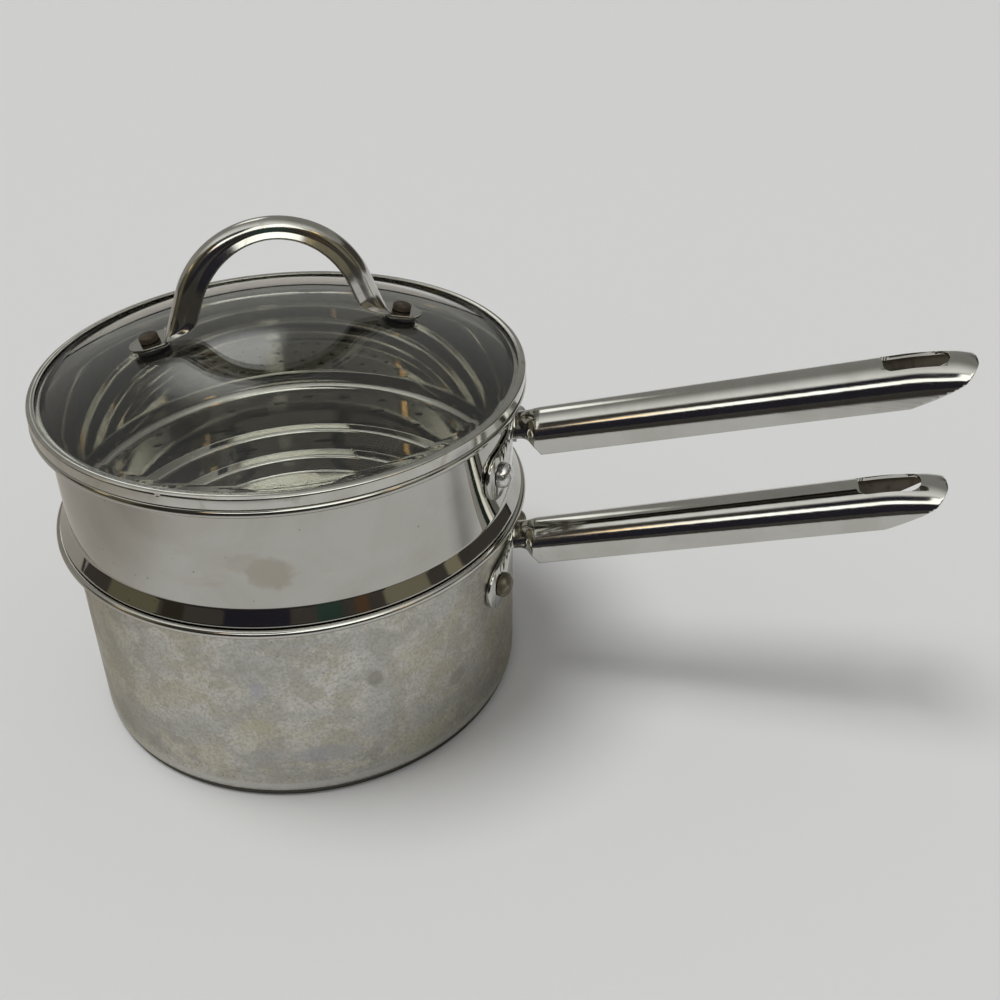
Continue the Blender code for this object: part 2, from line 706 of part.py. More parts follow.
def lid_glass(body):
    top = [(GLASS_EDGE_RADIUS, GLASS_EDGE_TOP)]
    for step in range(GLASS_DOME_STEPS):
        radius = GLASS_DOME_START * (1 - step / GLASS_DOME_STEPS)
        top.append((radius, glass_top(radius)))
    top.append((0.0, glass_top(0.0)))
    bottom = [(radius, height - GLASS_THICKNESS) for radius, height in reversed(top)]
    glass = mesh_object("lid_glass", turned(top + bottom, ROUND_SEGMENTS), "clear_glass", body)
    add_boolean(glass, lid_holes("glass_hole_cut", GLASS_HOLE), "DIFFERENCE")


def lid_rim_band(body):
    """Build the folded band: lip over the glass, face, floor under it and locating skirt."""
    lip_under = GLASS_EDGE_TOP + SEAT_GAP
    lip_over = lip_under + BAND_SHEET
    lip_middle = BAND_RADIUS - BAND_LIP / 2
    inner_face = BAND_RADIUS - BAND_SHEET
    skirt_inner = BAND_SKIRT_RADIUS - BAND_SHEET
    floor_top = BAND_BASE + BAND_SHEET
    skirt_end = BAND_BASE - BAND_SKIRT_HEIGHT
    profile = [(BAND_RADIUS, BAND_BASE), (BAND_RADIUS, lip_under - BAND_SHEET)]
    profile += [(BAND_RADIUS - 0.5 * BAND_SHEET, lip_under), (BAND_RADIUS - BAND_SHEET, lip_over)]
    profile += [(lip_middle, lip_over + BAND_LIP_CROWN), (BAND_RADIUS - BAND_LIP + BAND_SHEET, lip_over)]
    profile += [(BAND_RADIUS - BAND_LIP, lip_under + 0.3 * BAND_SHEET)]
    profile += [(BAND_RADIUS - BAND_LIP + BAND_SHEET, lip_under), (inner_face, lip_under)]
    profile += [(inner_face, floor_top), (skirt_inner, floor_top), (skirt_inner, skirt_end)]
    profile += [(BAND_SKIRT_RADIUS, skirt_end), (BAND_SKIRT_RADIUS, BAND_BASE)]
    band = mesh_object("lid_rim_band", turned(profile, ROUND_SEGMENTS), "handle_steel", body)

    half = BAND_NOTCH_WIDTH / 2
    crest = lip_over + BAND_LIP_CROWN
    bm = bmesh.new()
    points = [(-half, crest + half), (half, crest + half), (0.0, lip_over - BAND_NOTCH_DEPTH)]
    face = bm.faces.new([bm.verts.new((BAND_RADIUS - BAND_SHEET / 2, across, up)) for across, up in points])
    grown = bmesh.ops.extrude_face_region(bm, geom=[face])["geom"]
    fresh = [item for item in grown if isinstance(item, bmesh.types.BMVert)]
    bmesh.ops.translate(bm, vec=(BAND_LIP, 0.0, 0.0), verts=fresh)
    bmesh.ops.transform(bm, matrix=Matrix.Rotation(BAND_NOTCH_ANGLE, 4, "Z"), verts=bm.verts)
    add_boolean(band, cutter_object("band_notch_cut", bm), "DIFFERENCE")


def tongue_over_glass():
    """Return how far the top of a lid handle tongue lies over the glass, square to it."""
    return 2 * SEAT_GAP + SEAL_THICKNESS + BAIL_SHEET


def bail_half_path():
    """Return one half of the outer line of the lid handle, crown to tongue end.

    Each entry is (distance from the axis, height, angle of the outward normal).
    """
    crown = glass_top(0.0) + BAIL_HEIGHT
    centre = crown - BAIL_RADIUS
    sweep = math.pi / 2 - BAIL_LEG_LEAN
    path = []
    for step in range(BAIL_ARC_STEPS + 1):
        turn = sweep * step / BAIL_ARC_STEPS
        normal = math.pi / 2 - turn
        path.append((BAIL_RADIUS * math.sin(turn), centre + BAIL_RADIUS * math.cos(turn), normal))

    foot_half = LID_RIVET_SPACING / 2
    lift = tongue_over_glass()
    foot_x = foot_half + lift * math.sin(TILT_AT_RIVET)
    foot_z = glass_top(foot_half) + lift * math.cos(TILT_AT_RIVET)
    leg_run = Vector((math.sin(BAIL_LEG_LEAN), -math.cos(BAIL_LEG_LEAN)))
    foot_run = Vector((math.cos(TILT_AT_RIVET), -math.sin(TILT_AT_RIVET)))
    leg_start = Vector((path[-1][0], path[-1][1]))
    gap = Vector((foot_x, foot_z)) - leg_start
    cross = leg_run.x * foot_run.y - leg_run.y * foot_run.x
    leg_length = (gap.x * foot_run.y - gap.y * foot_run.x) / cross
    corner = leg_start + leg_run * leg_length
    bend_angle = math.pi / 2 - BAIL_LEG_LEAN - TILT_AT_RIVET
    tangent = BAIL_BEND * math.tan(bend_angle / 2)

    bend_start = corner - leg_run * tangent
    leg_normal = BAIL_LEG_LEAN
    for step in range(BAIL_FLATTENING_STEPS):
        left = 1 - step / BAIL_FLATTENING_STEPS
        point = bend_start - leg_run * BAIL_FLATTENING * left
        path.append((point.x, point.y, leg_normal))
    outward = Vector((math.cos(leg_normal), math.sin(leg_normal)))
    bend_centre = bend_start + outward * BAIL_BEND
    for step in range(BAIL_BEND_STEPS + 1):
        normal = leg_normal + bend_angle * step / BAIL_BEND_STEPS
        point = bend_centre - Vector((math.cos(normal), math.sin(normal))) * BAIL_BEND
        path.append((point.x, point.y, normal))

    foot_normal = leg_normal + bend_angle
    for share in TONGUE_STATIONS:
        point = Vector((foot_x, foot_z)) + foot_run * (TONGUE_END * share)
        path.append((point.x, point.y, foot_normal))
    return path


def bail_section(width, depth):
    """Return the strip's outline as (across, inward) points: a round rib between two lips."""
    rib = BAIL_RIB_WIDTH_SHARE * width / 2
    rise = BAIL_RIB_DEPTH_SHARE * depth
    outer = [(-width / 2, depth)]
    for step in range(BAIL_RIB_STEPS + 1):
        turn = math.pi * step / BAIL_RIB_STEPS
        outer.append((-rib * math.cos(turn), rise * (1 - math.sin(turn))))
    outer.append((width / 2, depth))
    return outer + offset_path(outer, BAIL_SHEET)[::-1]


def bail_size(index, tongue_start):
    """Return width and depth of the lid handle's section at one entry of its half path."""
    if index <= BAIL_ARC_STEPS:
        share = smooth_step(index / BAIL_ARC_STEPS)
        width = BAIL_TOP_WIDTH + (TONGUE_WIDTH - BAIL_TOP_WIDTH) * share
        return width, BAIL_TOP_DEPTH + (BAIL_LEG_DEPTH - BAIL_TOP_DEPTH) * share
    if index <= tongue_start:
        flattened = min((index - BAIL_ARC_STEPS - 1) / BAIL_FLATTENING_STEPS, 1.0)
        return TONGUE_WIDTH, BAIL_LEG_DEPTH * math.cos(flattened * math.pi / 2)
    return TONGUE_WIDTH * math.sqrt(1 - TONGUE_STATIONS[index - tongue_start] ** 2), 0.0


def bail_sections():
    """Return all sections of the lid handle from the left tongue to the right one."""
    half_path = bail_half_path()
    tongue_start = len(half_path) - len(TONGUE_STATIONS)
    turn = Matrix.Rotation(BAIL_ANGLE, 3, "Z")
    placed = []
    for side in (-1, 1):
        rows = []
        for index, (reach, height, normal) in enumerate(half_path):
            row = []
            for across, inward in bail_section(*bail_size(index, tongue_start)):
                along = side * (reach - inward * math.cos(normal))
                up = height - inward * math.sin(normal)
                row.append(turn @ Vector((along, across, up)))
            rows.append(row)
        placed.append(rows)
    left, right = placed
    return left[:0:-1] + right


def lid_handle(body):
    handle = mesh_object("lid_handle", loft(bail_sections()), "handle_steel", body)
    clearance = LID_RIVET_SHANK + 2 * SHANK_GAP
    add_boolean(handle, lid_holes("tongue_hole_cut", clearance), "DIFFERENCE")


def lid_fixings(body):
    """Build what clamps the lid handle: seals on both faces of the glass, washers, rivets."""
    bore = LID_RIVET_SHANK / 2 + SHANK_GAP
    seal = SEAL_DIAMETER / 2
    washer = WASHER_DIAMETER / 2
    bow = seal ** 2 / (2 * GLASS_DOME_RADIUS)
    glass_back = -GLASS_THICKNESS * math.cos(TILT_AT_RIVET)
    inner_seal_top = glass_back - SEAT_GAP - bow
    inner_seal_base = inner_seal_top - SEAL_THICKNESS
    washer_top = inner_seal_base - SEAT_GAP
    washer_base = washer_top - WASHER_THICKNESS
    tail_seat = washer_base - SEAT_GAP
    head_seat = tongue_over_glass() + SEAT_GAP
    rivet = rivet_profile(
        (LID_RIVET_HEAD, head_seat, LID_RIVET_HEAD_HEIGHT, LID_HEAD_SHAPE),
        LID_RIVET_SHANK,
        (LID_RIVET_TAIL, tail_seat, LID_RIVET_TAIL_HEIGHT, LID_TAIL_SHAPE),
    )
    stack = (
        ("lid_outer_seal_", ring_profile(seal, bore, SEAT_GAP, SEAT_GAP + SEAL_THICKNESS), "seal_rubber"),
        ("lid_inner_seal_", ring_profile(seal, bore, inner_seal_base, inner_seal_top), "seal_rubber"),
        ("lid_inner_washer_", ring_profile(washer, bore, washer_base, washer_top), "satin_steel"),
        ("lid_rivet_", rivet, "tarnished_rivet"),
    )
    for side_name, side in lid_sides():
        for prefix, profile, finish in stack:
            bm = turned(profile, SMALL_SEGMENTS, lid_rivet_place(side, 0.0))
            mesh_object(prefix + side_name, bm, finish, body)


def lid(body):
    """Build the lid: domed glass in a folded band, strip handle and its fixings."""
    lid_glass(body)
    lid_rim_band(body)
    lid_handle(body)
    lid_fixings(body)


def main():
    clear_scene()
    saucepan(body_empty("saucepan_body", 0.0))
    steamer(body_empty("steamer_body", STEAMER_SEAT))
    lid(body_empty("lid_body", BAND_BASE))


main()
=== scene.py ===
"""Looks of a saucepan with a steamer insert and a glass lid.

Sizes are in metres with +Z up. The origin is the centre of the pan's base on the worktop,
and both long handles point along +X.
"""

import math

import bmesh
import bpy
from bpy.props import FloatProperty, FloatVectorProperty, IntProperty, PointerProperty
from bpy.types import Operator, Panel, PropertyGroup
from mathutils import Matrix, Vector


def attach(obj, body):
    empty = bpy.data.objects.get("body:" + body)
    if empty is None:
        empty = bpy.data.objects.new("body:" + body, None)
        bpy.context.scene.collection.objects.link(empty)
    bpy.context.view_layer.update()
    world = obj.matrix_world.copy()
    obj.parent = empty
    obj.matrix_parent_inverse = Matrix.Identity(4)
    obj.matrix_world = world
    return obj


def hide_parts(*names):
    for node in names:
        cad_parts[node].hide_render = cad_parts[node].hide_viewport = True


bl_info = {
    "name": "Saucepan with steamer",
    "version": (1, 0, 0),
    "blender": (4, 5, 0),
    "location": "3D View > Sidebar > Cookware",
    "description": "Builds a saucepan with a stepped steamer insert and a domed glass lid",
    "category": "Add Mesh",
}

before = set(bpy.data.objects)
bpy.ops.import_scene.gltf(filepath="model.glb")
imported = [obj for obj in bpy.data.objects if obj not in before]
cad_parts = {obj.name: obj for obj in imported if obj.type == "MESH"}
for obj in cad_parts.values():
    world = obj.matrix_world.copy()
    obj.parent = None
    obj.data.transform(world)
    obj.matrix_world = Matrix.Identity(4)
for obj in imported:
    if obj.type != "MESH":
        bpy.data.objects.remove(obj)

MM = 0.001
BUMP_DISTANCE = 0.2 * MM
# Points closer than this become one, and faces smaller than this are dropped
MERGE_DISTANCE = 0.002 * MM
FLAT_AREA = 1e-13
RIVET_SEGMENTS = 48
CAP_STEPS = 6
# Extra rings of points, in the pan's bottom and round the steamer's holes
MIDDLE_RING = 30.0 * MM
HOLED_RING = 58.0 * MM


def length(label, millimetres, description):
    """Declare one size in millimetres."""
    return FloatProperty(
        name=label,
        description=description,
        default=millimetres * MM,
        min=0.0,
        subtype="DISTANCE",
        unit="LENGTH",
        precision=5,
    )


def slant(label, degrees, description):
    """Declare one angle in degrees."""
    return FloatProperty(
        name=label,
        description=description,
        default=math.radians(degrees),
        subtype="ANGLE",
        unit="ROTATION",
    )


def count(label, number, description):
    return IntProperty(name=label, description=description, default=number, min=1)


def share(label, number, description):
    return FloatProperty(name=label, description=description, default=number, min=0.0, max=1.0)


def plain(label, number, description):
    return FloatProperty(name=label, description=description, default=number)


class VesselSizes(PropertyGroup):
    """What the pan and the steamer have in common."""

    segments: count("Segments", 192, "Flat sides that make up a full turn")
    wall_radius: length("Wall radius", 90.0, "Outside radius of both straight walls")
    rim_radius: length("Rim radius", 93.5, "Radius of the middle of the rolled rims")
    rim_bead: length("Rim bead", 1.7, "Radius of the roll itself")
    flare: length("Flare", 5.8, "Height over which the wall flares out to the rim")
    seat_gap: length("Gap", 0.3, "Clearance between pieces that touch")


class PanSizes(PropertyGroup):
    """The saucepan and the heat spreading base under it."""

    sheet: length("Sheet", 0.9, "Thickness of the wall")
    rim_height: length("Rim height", 84.5, "Height of the rim's middle over the worktop")
    corner: length("Bottom corner", 1.5, "Outside radius between wall and bottom")
    cap_radius: length("Base radius", 89.1, "Outside radius of the cup under the bottom")
    cap_sheet: length("Base sheet", 0.6, "Thickness of the cup under the bottom")
    cap_corner: length("Base corner", 0.7, "Outside radius of the cup's lower edge")
    disc: length("Heat disc", 1.1, "Thickness of the disc inside the cup")


class SteamerSizes(PropertyGroup):
    """The steamer insert with its ledges and holed floor."""

    sheet: length("Sheet", 0.8, "Thickness of the wall")
    rim_rise: length("Rim rise", 48.5, "Height of the rim's middle over the seat")
    skirt: length("Skirt", 5.1, "Height over which the wall widens to the seat")
    seat_radius: length("Seat radius", 93.4, "Outside radius of the edge that sits on the pan")
    seat_corner: length("Seat corner", 0.9, "Radius of the seat's outer edge")
    radius_one: length("First radius", 84.8, "Outside radius below the seat")
    radius_two: length("Second radius", 78.8, "Outside radius below the first ledge")
    radius_three: length("Third radius", 72.3, "Outside radius below the second ledge")
    depth_one: length("First depth", 21.6, "Depth from the seat to the first ledge")
    depth_two: length("Second depth", 11.0, "Depth from the first ledge to the second")
    depth_three: length("Third depth", 8.5, "Depth from the second ledge to the floor")
    first_fillet: length("First fillet", 3.3, "Radius under the seat")
    fillet: length("Fillet", 1.2, "Radius of the ledges' edges")
    floor_corner: length("Floor corner", 2.2, "Radius round the floor")
    hole: length("Steam hole", 3.5, "Diameter of one steam hole")
    hole_pitch: length("Hole pitch", 13.0, "Distance between holes of one ring")
    first_ring: length("First ring", 8.0, "Radius of the innermost ring of holes")
    ring_pitch: length("Ring pitch", 14.0, "Distance between rings of holes")
    rings: count("Rings", 4, "Rings of holes")


class GripSizes(PropertyGroup):
    """The two long handles."""

    sheet: length("Sheet", 1.3, "Thickness of the strip")
    length: length("Length", 170.8, "Length from the wall's middle line to the tip")
    slope: slant("Slope", 13.0, "Rise of the handle towards its tip")
    root_width: length("Root width", 18.1, "Width at the wall")
    tip_width: length("Tip width", 22.2, "Width at the tip")
    root_side: length("Root side", 6.0, "How far the sides reach down at the wall")
    tip_side: length("Tip side", 4.7, "How far the sides reach down at the tip")
    pan_drop: length("Pan handle drop", 20.3, "Arch centre below the pan's rim")
    steamer_drop: length("Steamer handle drop", 18.5, "Arch centre below the steamer's rim")
    neck: length("Neck", 4.0, "Length of the plain neck")
    neck_pinch: share("Neck pinch", 0.24, "Share of the width that is pressed in at the neck")
    neck_flare: length("Neck flare", 1.1, "Radius of the bend from neck to foot")
    neck_rise: length("Neck rise", 1.2, "How high the neck's lower edges lie")
    shoulder_start: length("Shoulder start", 7.0, "Where the neck starts to widen")
    shoulder_end: length("Shoulder end", 10.5, "Where the full width is reached")
    side_cut: length("Side cut", 9.3, "Length over which the sides grow down")
    tip_cut: length("Tip cut", 22.5, "Length of the slanted tip")
    nose: length("Nose", 10.0, "Length over which the free end is rounded, seen from above")
    droop: share("Droop", 0.20, "Share of the arch's height by which the very end bends down")
    spoon: length("Spoon", 26.0, "Length over which the arch is pressed flatter at the tip")
    spoon_drop: length("Spoon drop", 2.2, "How far the crown is pressed down at the tip")
    tip_trim: length("Tip trim", 0.4, "How far the lowest corner is cut back")
    slot_width: length("Slot width", 11.8, "Width of the hanging slot")
    slot_length: length("Slot length", 23.0, "Length of the hanging slot")
    slot_margin: length("Slot margin", 10.5, "Distance from slot to tip")
    slot_inner: length("Inner corners", 3.0, "Corner radius at the pan side of the slot")
    slot_outer: length("Outer corners", 4.8, "Corner radius at the tip side of the slot")
    rivet_spacing: length("Rivet spacing", 43.0, "Distance between the two rivets")
    rivet_drop: length("Rivet drop", 4.9, "Rivets below the arch centre")
    ear: length("Ear", 10.0, "Radius of the round ears")
    margin: length("Foot margin", 1.0, "Foot beyond the neck")
    edge: length("Edge", 0.22, "Rounding of the cut edges")
    head: length("Rivet head", 10.0, "Diameter of a rivet's head")
    head_height: length("Head height", 4.6, "Height of a rivet's head")
    shank: length("Rivet shank", 4.4, "Diameter of a rivet's shank")
    tail: length("Rivet tail", 8.0, "Diameter of a rivet's tail inside the wall")
    tail_height: length("Tail height", 1.2, "Height of a rivet's tail")


class LidSizes(PropertyGroup):
    """The glass and the metal band round it."""

    radius: length("Band radius", 94.9, "Outside radius of the band")
    sheet: length("Band sheet", 0.5, "Thickness of the band")
    lip: length("Lip", 3.0, "Width of the lip over the glass")
    crown: length("Lip crown", 0.3, "How far the lip's middle is raised")
    skirt_radius: length("Skirt radius", 90.5, "Outside radius of the skirt inside the rim")
    skirt_height: length("Skirt height", 3.4, "Height of the skirt")
    notch_width: length("Notch width", 5.0, "Width of the small steam notch")
    notch_depth: length("Notch depth", 1.4, "Depth of the small steam notch")
    notch_angle: slant("Notch angle", -96.7, "Where the steam notch is")
    glass: length("Glass", 3.0, "Thickness of the glass")
    glass_flat: length("Flat edge", 4.1, "Width of the glass's flat edge")
    dome_radius: length("Dome radius", 220.0, "Radius of the dome")


class BailSizes(PropertyGroup):
    """The lid's handle and what clamps it to the glass."""

    angle: slant("Angle", 25.2, "Direction of the handle from the long handles")
    sheet: length("Sheet", 1.3, "Thickness of the strip")
    height: length("Height", 41.1, "Height of the crown over the glass")
    radius: length("Bow radius", 38.5, "Outside radius of the bow")
    lean: slant("Leg lean", 20.0, "How far the legs lean from upright")
    bend: length("Bend", 1.2, "Outside radius between leg and tongue")
    top_width: length("Top width", 12.4, "Width of the bow at the crown")
    top_depth: length("Top depth", 6.6, "Depth of the bow's section at the crown")
    leg_depth: length("Leg depth", 9.1, "Depth of the section at the legs")
    rib_width: share("Rib width", 0.77, "Share of the width that the round rib takes")
    rib_depth: share("Rib depth", 0.62, "Share of the depth that the round rib takes")
    flattening: length("Flattening", 9.5, "Length over which the section goes flat")
    tongue: length("Tongue", 14.0, "Width of the flat tongues")
    tongue_end: length("Tongue end", 8.0, "Distance from the rivet to the tongue's end")
    edge: length("Edge", 0.2, "Rounding of the cut edges")
    rivet_spacing: length("Rivet spacing", 94.6, "Distance between the two rivets")
    shank: length("Rivet shank", 4.0, "Diameter of a rivet's shank")
    head: length("Rivet head", 7.3, "Diameter of a rivet's head")
    head_height: length("Head height", 2.6, "Height of a rivet's head")
    tail: length("Rivet tail", 6.6, "Diameter of a rivet's tail")
    tail_height: length("Tail height", 1.4, "Height of a rivet's tail")
    seal: length("Seal", 12.4, "Diameter of a seal")
    seal_thickness: length("Seal thickness", 1.2, "Thickness of a seal")
    washer: length("Washer", 11.0, "Diameter of a washer")
    washer_thickness: length("Washer thickness", 1.0, "Thickness of a washer")


class StageSettings(PropertyGroup):
    """Floor, light and camera."""

    floor_radius: length("Floor radius", 6000.0, "Radius of the floor")
    floor_colour: FloatVectorProperty(
        name="Floor colour",
        description="Colour of the floor",
        subtype="COLOR",
        default=(0.80, 0.80, 0.79),
    )
    camera_place: FloatVectorProperty(
        name="Camera",
        description="Place of the camera",
        subtype="TRANSLATION",
        unit="LENGTH",
        default=(0.1396, -0.3611, 0.3332),
    )
    camera_heading: slant("Heading", 98.5, "Direction of view over the ground, from +X")
    camera_pitch: slant("Pitch", 30.08, "How far the camera looks down")
    camera_roll: slant("Roll", -0.22, "How far the camera is tilted sideways")
    focal_share: plain("Focal length", 1.079, "Focal length over the frame's width")
    shift_y: plain("Shift", -0.0782, "Vertical shift of the frame")
    ambient: plain("Ambient", 0.37, "Even light from all round")
    lamp_strength: plain("Lamp strength", 1.48, "Strength of the overhead lamp")
    lamp_spread: slant("Lamp spread", 24.0, "How wide the overhead lamp looks from the worktop")


def math_method(operation, reflected=False):
    """Return a method that adds one Math node for an operator, or for its reflected form."""

    def apply(self, other):
        first, second = (other, self) if reflected else (self, other)
        return self.graph.add("ShaderNodeMath", {"operation": operation}, {0: first, 1: second})

    return apply


class Term:
    """A shader value that can be used in plain arithmetic."""

    __add__ = math_method("ADD")
    __radd__ = math_method("ADD", reflected=True)
    __sub__ = math_method("SUBTRACT")
    __rsub__ = math_method("SUBTRACT", reflected=True)
    __mul__ = math_method("MULTIPLY")
    __rmul__ = math_method("MULTIPLY", reflected=True)
    __pow__ = math_method("POWER")
    least = math_method("MINIMUM")
    angle_to = math_method("ARCTAN2")

    def __init__(self, graph, socket):
        self.graph = graph
        self.socket = socket

    def ramp(self, low, high):
        """Go smoothly from 0 at the low value to 1 at the high one."""
        limits = {0: self, 1: low, 2: high}
        return self.graph.add("ShaderNodeMapRange", {"interpolation_type": "SMOOTHSTEP"}, limits)


class Graph:
    """One node tree that is filled through a single method."""

    def __init__(self, tree):
        self.tree = tree
        tree.nodes.clear()

    def add(self, kind, settings=None, inputs=None, output=0):
        node = self.tree.nodes.new(kind)
        for name, value in (settings or {}).items():
            setattr(node, name, value)
        for name, value in (inputs or {}).items():
            if isinstance(value, Term):
                self.tree.links.new(value.socket, node.inputs[name])
            else:
                node.inputs[name].default_value = value
        return Term(self, node.outputs[output])

    def place(self):
        return self.add("ShaderNodeTexCoord", output="Object")

    def split(self, vector):
        return [self.add("ShaderNodeSeparateXYZ", inputs={0: vector}, output=axis) for axis in range(3)]

    def vector(self, x, y, z):
        return self.add("ShaderNodeCombineXYZ", inputs={0: x, 1: y, 2: z})

    def mapped(self, vector, location=(0, 0, 0), rotation=(0, 0, 0), scale=(1, 1, 1)):
        inputs = {"Vector": vector, "Location": location, "Rotation": rotation, "Scale": scale}
        return self.add("ShaderNodeMapping", inputs=inputs)

    def noise(self, vector, scale, detail=2.0, roughness=0.5, distortion=0.0):
        inputs = {"Vector": vector, "Scale": scale, "Detail": detail}
        inputs |= {"Roughness": roughness, "Distortion": distortion}
        return self.add("ShaderNodeTexNoise", inputs=inputs)

    def dot(self, vector, direction):
        settings = {"operation": "DOT_PRODUCT"}
        return self.add("ShaderNodeVectorMath", settings, {0: vector, 1: direction}, "Value")

    def blot(self, place, centre, size, ragged, grain):
        """Return one stain, 1 in its middle and 0 outside, with an edge that noise eats into."""
        scale = tuple(1 / extent for extent in size)
        shift = tuple(-middle / extent for middle, extent in zip(centre, size))
        local = self.mapped(place, shift, scale=scale)
        distance = self.add("ShaderNodeVectorMath", {"operation": "LENGTH"}, {0: local}, "Value")
        distance = distance + (self.noise(place, grain, 5.0, 0.65, 0.8) - 0.5) * ragged
        return 1.0 - distance.ramp(0.55, 1.0)

    def specks(self, vector, scale, size):
        """Return small scattered spots, 1 inside a spot and 0 outside."""
        inputs = {"Vector": vector, "Scale": scale, "Randomness": 1.0}
        return 1.0 - self.add("ShaderNodeTexVoronoi", inputs=inputs).ramp(size * 0.6, size)

    def mix(self, factor, one, two):
        return self.add("ShaderNodeMix", {"data_type": "RGBA"}, {0: factor, 6: one, 7: two}, 2)

    def layers(self, colour, *coats):
        """Lay (mask, red, green, blue) coats over a colour, one after the other."""
        for mask, *coat in coats:
            colour = self.mix(mask, colour, rgb(*coat))
        return colour

    def bump(self, height, strength):
        inputs = {"Height": height, "Strength": strength, "Distance": BUMP_DISTANCE}
        return self.add("ShaderNodeBump", inputs=inputs)

    def principled(self, **values):
        inputs = {name.replace("_", " "): value for name, value in values.items()}
        return self.add("ShaderNodeBsdfPrincipled", inputs=inputs)

    def metal(self, colour, rough, normal, **more):
        values = {"Base_Color": colour, "Metallic": 1.0, "Roughness": rough, "Normal": normal}
        return self.principled(**(values | more))

    def show(self, shader, output="ShaderNodeOutputMaterial"):
        node = self.tree.nodes.new(output)
        self.tree.links.new(shader.socket, node.inputs[0])


def rgb(red, green, blue):
    return (red, green, blue, 1.0)


def radius_of(x, y):
    """Return the distance from the axis as a shader value."""
    return (x * x + y * y) ** 0.5


def ring_lines(graph, place):
    """Return a vector whose noise runs as fine rings round the axis, on walls and on floors."""
    x, y, z = graph.split(place)
    return graph.vector(x * 6.0, y * 6.0, (z + radius_of(x, y)) * 1500.0)


def satin_steel(graph, place):
    """Steel of the pan: a fine felt of stains, heat tints and splashes under a polished rim, with painted
    shade along the bottom and a painted highlight line just above it.
    """
    _, _, height = graph.split(place)
    lines = graph.noise(ring_lines(graph, place), 1.0, 3.0)
    broad = graph.noise(place, 24.0, 5.0, 0.6, 0.3)
    felt = graph.noise(place, 850.0, 4.0, 0.7)
    patches = graph.noise(graph.mapped(place, (0.1, 0.3, 0.2)), 85.0, 9.0, 0.72, 0.25).ramp(0.48, 0.545)
    tint = graph.noise(graph.mapped(place, (0.5, 0.7, 0.1), scale=(1.0, 1.0, 1.8)), 36.0, 7.0, 0.68, 0.3)
    low = (1.0 - height.ramp(0.010, 0.040)) * height.ramp(0.006, 0.013)
    steel = graph.layers(
        rgb(0.620, 0.605, 0.560),
        (broad.ramp(0.38, 0.62), 0.560, 0.545, 0.495),
        (patches * 0.50, 0.415, 0.390, 0.320),
        (tint.ramp(0.51, 0.56) * 0.45, 0.440, 0.440, 0.435),
        ((1.0 - tint.ramp(0.40, 0.46)) * 0.45, 0.530, 0.495, 0.375),
        (low * tint.ramp(0.44, 0.49) * 0.50, 0.345, 0.340, 0.335),
        (felt.ramp(0.47, 0.58) * 0.52, 0.34, 0.325, 0.28),
    )
    splashes = (
        ((0.0076, -0.0897, 0.0372), (0.008, 0.02, 0.004), (0.47, 0.46, 0.27), 0.35),
        ((0.0100, -0.0894, 0.0552), (0.003, 0.02, 0.005), (0.40, 0.38, 0.46), 0.45),
        ((0.0330, -0.0837, 0.0209), (0.014, 0.02, 0.005), (0.37, 0.38, 0.43), 0.45),
        ((0.0500, -0.0749, 0.0528), (0.0034, 0.01, 0.0046), (0.30, 0.29, 0.25), 0.75),
        ((0.0754, -0.0491, 0.0332), (0.0034, 0.01, 0.0046), (0.34, 0.33, 0.29), 0.65),
    )
    for middle, size, colour, strength in splashes:
        steel = graph.mix(graph.blot(place, middle, size, 0.5, 330.0) * strength, steel, rgb(*colour))
    rim = height.ramp(0.0785, 0.0805)
    # Band of a painted highlight: a bright line just above the bottom corner, which is also smoother
    edge = height.ramp(0.0040, 0.0046) * (1.0 - height.ramp(0.0062, 0.0076))
    steel = graph.layers(
        steel,
        (graph.specks(place, 210.0, 0.10) * 0.6, 0.20, 0.18, 0.14),
        # Clean polished rim, and the painted highlight line near the bottom
        (rim * 0.7 + edge * 0.8, 0.60, 0.59, 0.56),
        # Painted shade: below 3 mm, over the bottom corner and the whole base cup, the steel is nearly
        # black
        (1.0 - height.ramp(0.0030, 0.0036), 0.10, 0.095, 0.085),
    )
    worn = 0.21 + lines * 0.06 + patches * 0.07 + felt * 0.12
    rough = worn * (1.0 - rim * 0.62) * (1.0 - edge * 0.55)
    normal = graph.bump(lines * 0.5 + felt * 0.5, 0.10)
    return graph.metal(steel, rough, normal, Specular_Tint=rgb(0.66, 0.63, 0.56))


def mirror_steel(graph, place):
    """Steel of the steamer: nearly a mirror, with smudges, faint rings and water spots."""
    lines = graph.noise(ring_lines(graph, place), 1.0, 2.0)
    haze = graph.noise(place, 30.0, 4.0, 0.6, 0.8)
    fine = graph.noise(place, 300.0, 2.0)
    streaks = graph.mapped(place, (0.2, 0.4, 0.1), scale=(1, 1, 3))
    smear = graph.noise(streaks, 34.0, 5.0, 0.6, 1.0).ramp(0.62, 0.80)
    smudge = graph.blot(place, (0.0209, -0.0875, 0.1076), (0.0095, 0.03, 0.0075), 1.3, 120.0)
    paler = graph.blot(place, (0.0130, -0.0890, 0.1120), (0.0095, 0.03, 0.0060), 1.3, 120.0)
    smudge = (smudge + paler * 0.5).least(1.0)
    steel = graph.layers(
        rgb(0.52, 0.51, 0.475),
        (haze.ramp(0.35, 0.7), 0.47, 0.455, 0.415),
        (smear * 0.35, 0.42, 0.385, 0.31),
        (graph.specks(place, 150.0, 0.07) * 0.6, 0.17, 0.14, 0.10),
        (smudge * 0.40, 0.31, 0.26, 0.18),
    )
    rough = 0.03 + haze.ramp(0.4, 0.8) * 0.025 + smear * 0.05 + smudge * 0.12 + lines * fine * 0.02
    return graph.metal(steel, rough, graph.bump(haze, 0.02))


